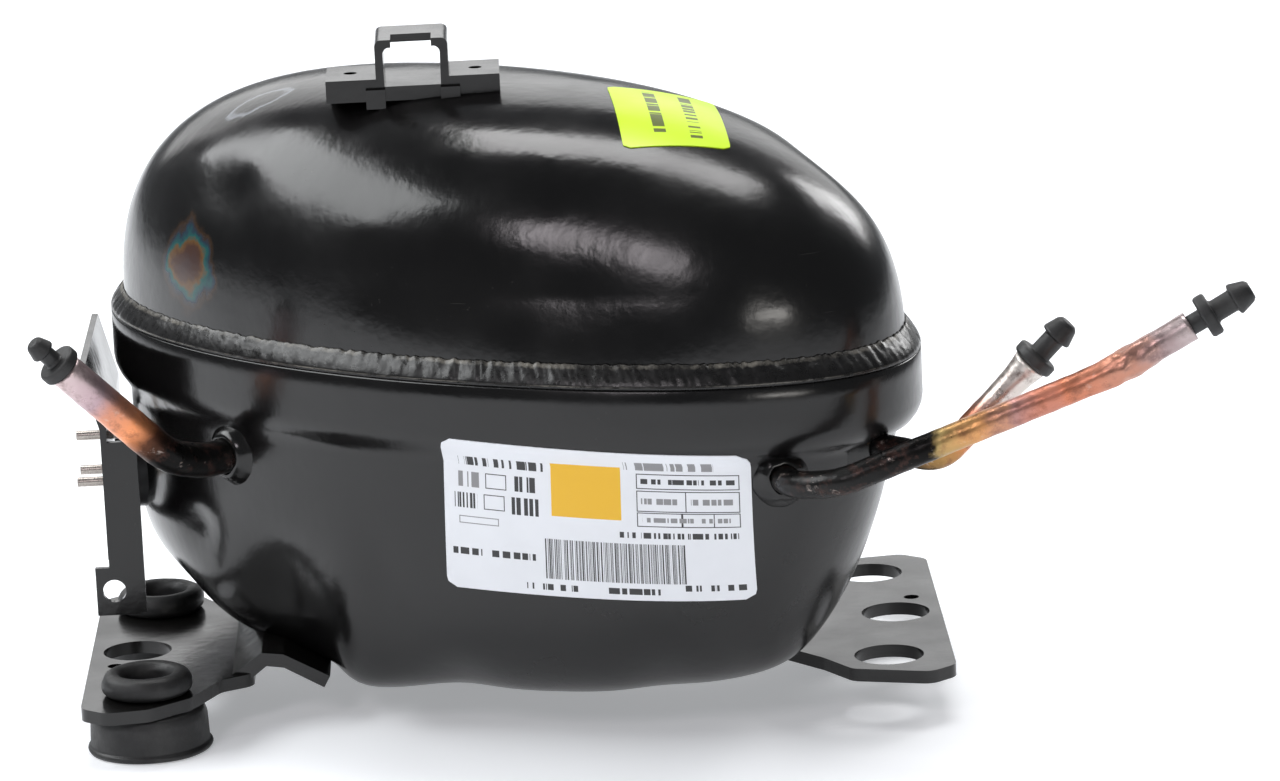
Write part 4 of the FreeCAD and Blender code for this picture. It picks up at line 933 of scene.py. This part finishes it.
def make_labels(cover, bowl):
    """The rating label on the bowl and the sticker on the cover, with generic print."""
    graph = bpy.context.evaluated_depsgraph_get()
    trees = {piece.name: BVHTree.FromObject(piece, graph) for piece in (cover, bowl)}
    middle, outward = wall_spot(286.3, 46.0)
    across = Vector((-outward.y, outward.x, 0))
    tilt = math.radians(-2.6)
    right = across * math.cos(tilt) + Vector((0, 0, 1)) * math.sin(tilt)
    up = -across * math.sin(tilt) + Vector((0, 0, 1)) * math.cos(tilt)

    def on_bowl(x, y):
        start = middle + right * x + up * y + outward * 30
        spot, normal = trees[bowl.name].ray_cast(start * MM, -outward)[:2]
        return spot / MM, normal
    ink = (0.03, 0.03, 0.032)
    grey = (0.25, 0.25, 0.26)
    amber = (0.80, 0.46, 0.02)
    marks = [
        (25.5, 19.3, 41.5, 32.0, "solid", amber),
        (3.5, 29.5, 24, 31.8, "dashes", ink),
        (42, 31.4, 62, 33.6, "dashes", grey),
        (45, 27.0, 67.5, 30.6, "frame", ink), (46, 28.2, 66.5, 29.4, "dashes", ink),
        (45, 21.6, 67.5, 26.6, "frame", ink), (45, 21.6, 56, 26.6, "frame", ink),
        (46, 23.4, 54, 24.8, "dashes", grey), (57, 23.4, 66, 24.8, "dashes", grey),
        (45, 18.0, 67.5, 21.4, "frame", ink), (45, 18.0, 55, 21.4, "frame", ink),
        (55, 18.0, 62, 21.4, "frame", ink), (46, 19.1, 66, 20.2, "dashes", grey),
        (41, 15.2, 67, 16.6, "dashes", ink),
        (3.5, 24.3, 8.5, 27.9, "dashes", grey), (10, 24.3, 15.0, 27.9, "frame", ink),
        (16, 24.3, 22.5, 27.9, "dashes", ink),
        (2.5, 19.3, 8, 22.9, "dashes", ink), (9.5, 19.3, 14.5, 22.9, "frame", ink),
        (16, 18.8, 22.5, 22.9, "dashes", ink),
        (3.5, 15.6, 13, 17.4, "frame", grey),
        (1.8, 8.2, 21.5, 9.8, "dashes", ink),
        (23.5, 4.2, 55.5, 13.8, "bars", ink),
        (19, 1.4, 31, 2.9, "dashes", ink), (38, 1.4, 50, 2.9, "dashes", ink),
        (55, 2.4, 68, 3.9, "dashes", ink),
    ]
    paper = printed("label_print", (0.78, 0.80, 0.84), ink, marks, 70, 36)
    points = rounded_patch(70, 36, 2.4, 56, 30)
    sheet_piece("label_sheet", points, 56, 30, on_bowl, 0.22, paper,
                "rating_label")

    turn = Matrix.Rotation(math.radians(4), 3, "Z")

    def on_cover(x, y):
        flat = turn @ Vector((x, y, 0)) + Vector((40, -28, 0))
        start = Vector((flat.x, flat.y, 160)) * MM
        spot, normal = trees[cover.name].ray_cast(start, Vector((0, 0, -1)))[:2]
        return spot / MM, normal
    dark = (0.10, 0.13, 0.01)
    marks = [(15.5, 3, 18.2, 33, "upright_dashes", dark),
             (7.5, 3, 10.2, 33, "upright_dashes", dark)]
    bright = printed("sticker_print", (0.62, 0.90, 0.015), dark, marks, 24, 36, 0.3)
    points = rounded_patch(24, 36, 1.6, 24, 36)
    sheet_piece("sticker_sheet", points, 24, 36, on_cover, 0.25, bright,
                "inspection_sticker")


# Carried-over solids ------------------------------------------------------------------------

def dress(name, material, bevel=0.0, sharp=32):
    """Give a CAD node its material, soft edges and smooth shading."""
    node = NODES[name]
    node.data.materials.clear()
    node.data.materials.append(material)
    for face in node.data.polygons:
        face.use_smooth = True
    node.data.set_sharp_from_angle(angle=math.radians(sharp))
    if bevel:
        soften = node.modifiers.new("soft_edges", "BEVEL")
        soften.width = bevel * MM
        soften.segments = 3
        soften.limit_method = "ANGLE"
        soften.angle_limit = math.radians(40)
        soften.harden_normals = True


def dress_all(shades):
    plan = {
        "plate": ["mounting_plate_left", "mounting_plate_right"],
        "bracket": ["top_bracket_base", "top_bracket_clip", "terminal_bracket"],
        "pin": ["terminal_pins"],
        "bead_glass": ["terminal_glass"],
        "cup": ["terminal_body"],
        "iron": ["crankcase", "counterweight"],
        "ground": ["crankshaft", "piston_yoke", "slide_block", "oil_gallery_plug",
                   "thrust_washer", "oil_pickup_tube", "valve_plate"],
        "spring": ["suspension_springs", "suction_reed", "discharge_reed", "reed_retainer",
                   "head_bolts", "stator_bolts", "discharge_muffler_cover", "spring_seats"],
        "laminated": ["stator_core", "rotor_core"],
        "magnet": ["rotor_magnets"],
        "winding": ["stator_coils"],
        "bobbin": ["stator_bobbins", "lead_connector", "spring_caps"],
        "muffler": ["suction_muffler"],
        "aluminium": ["cylinder_head"],
        "gasket": ["head_gasket"],
        "sleeve": ["lead_wires"],
        "loop": ["discharge_loop"],
    }
    soft = {"plate": 0.5, "bracket": 0.35, "cup": 0.3}
    for shade, names in plan.items():
        for name in names:
            dress(name, shades[shade], soft.get(shade, 0.0))


# Scene --------------------------------------------------------------------------------------

make_camera()
make_stage()
SHADES = {
    "shell": enamel("shell_enamel"),
    "cover": enamel("cover_enamel", tint=((-0.0715, -0.008, 0.0965), 0.0115),
                    mark=(-0.0529, 0.0101, 0.1305)),
    "plate": enamel("plate_enamel", (0.0055, 0.0052, 0.005), 0.6),
    "bracket": enamel("bracket_enamel", (0.0045, 0.0043, 0.0042), 0.5),
    "collar": enamel("collar_enamel", (0.0045, 0.0043, 0.0042), 0.5),
    "bead": weld("weld_bead"),
    "rubber": rubber("black_rubber"),
    "pin": metal("pin_steel", (0.55, 0.50, 0.46), (0.22, 0.36), (14.0, 1.0, 1.0)),
    "bead_glass": glass("fused_glass"),
    "cup": metal("cup_steel", (0.05, 0.05, 0.052), (0.3, 0.5), (1, 1, 1), 0.6),
    "iron": casting("cast_iron", (0.16, 0.15, 0.145)),
    "ground": metal("ground_steel", (0.55, 0.55, 0.56), (0.16, 0.3)),
    "spring": metal("spring_steel", (0.36, 0.37, 0.39), (0.2, 0.36)),
    "laminated": laminated("laminations"),
    "magnet": casting("magnet", (0.09, 0.09, 0.10)),
    "winding": winding("winding_wire"),
    "bobbin": plastic("bobbin_plastic", (0.72, 0.70, 0.62)),
    "muffler": plastic("muffler_plastic", (0.05, 0.05, 0.055)),
    "aluminium": metal("cast_aluminium", (0.62, 0.62, 0.63), (0.34, 0.5), (1, 1, 1)),
    "gasket": plastic("gasket_fibre", (0.16, 0.18, 0.16), 0.7),
    "sleeve": plastic("wire_sleeve", (0.55, 0.08, 0.05), 0.5),
    "loop": metal("loop_copper", (0.70, 0.32, 0.20), (0.2, 0.36)),
}
COVER = make_cover(SHADES["cover"])
BOWL = make_bowl(SHADES["shell"])
make_bead(SHADES["bead"])
make_lines(SHADES)
make_grommets(SHADES["rubber"])
make_labels(COVER, BOWL)
dress_all(SHADES)
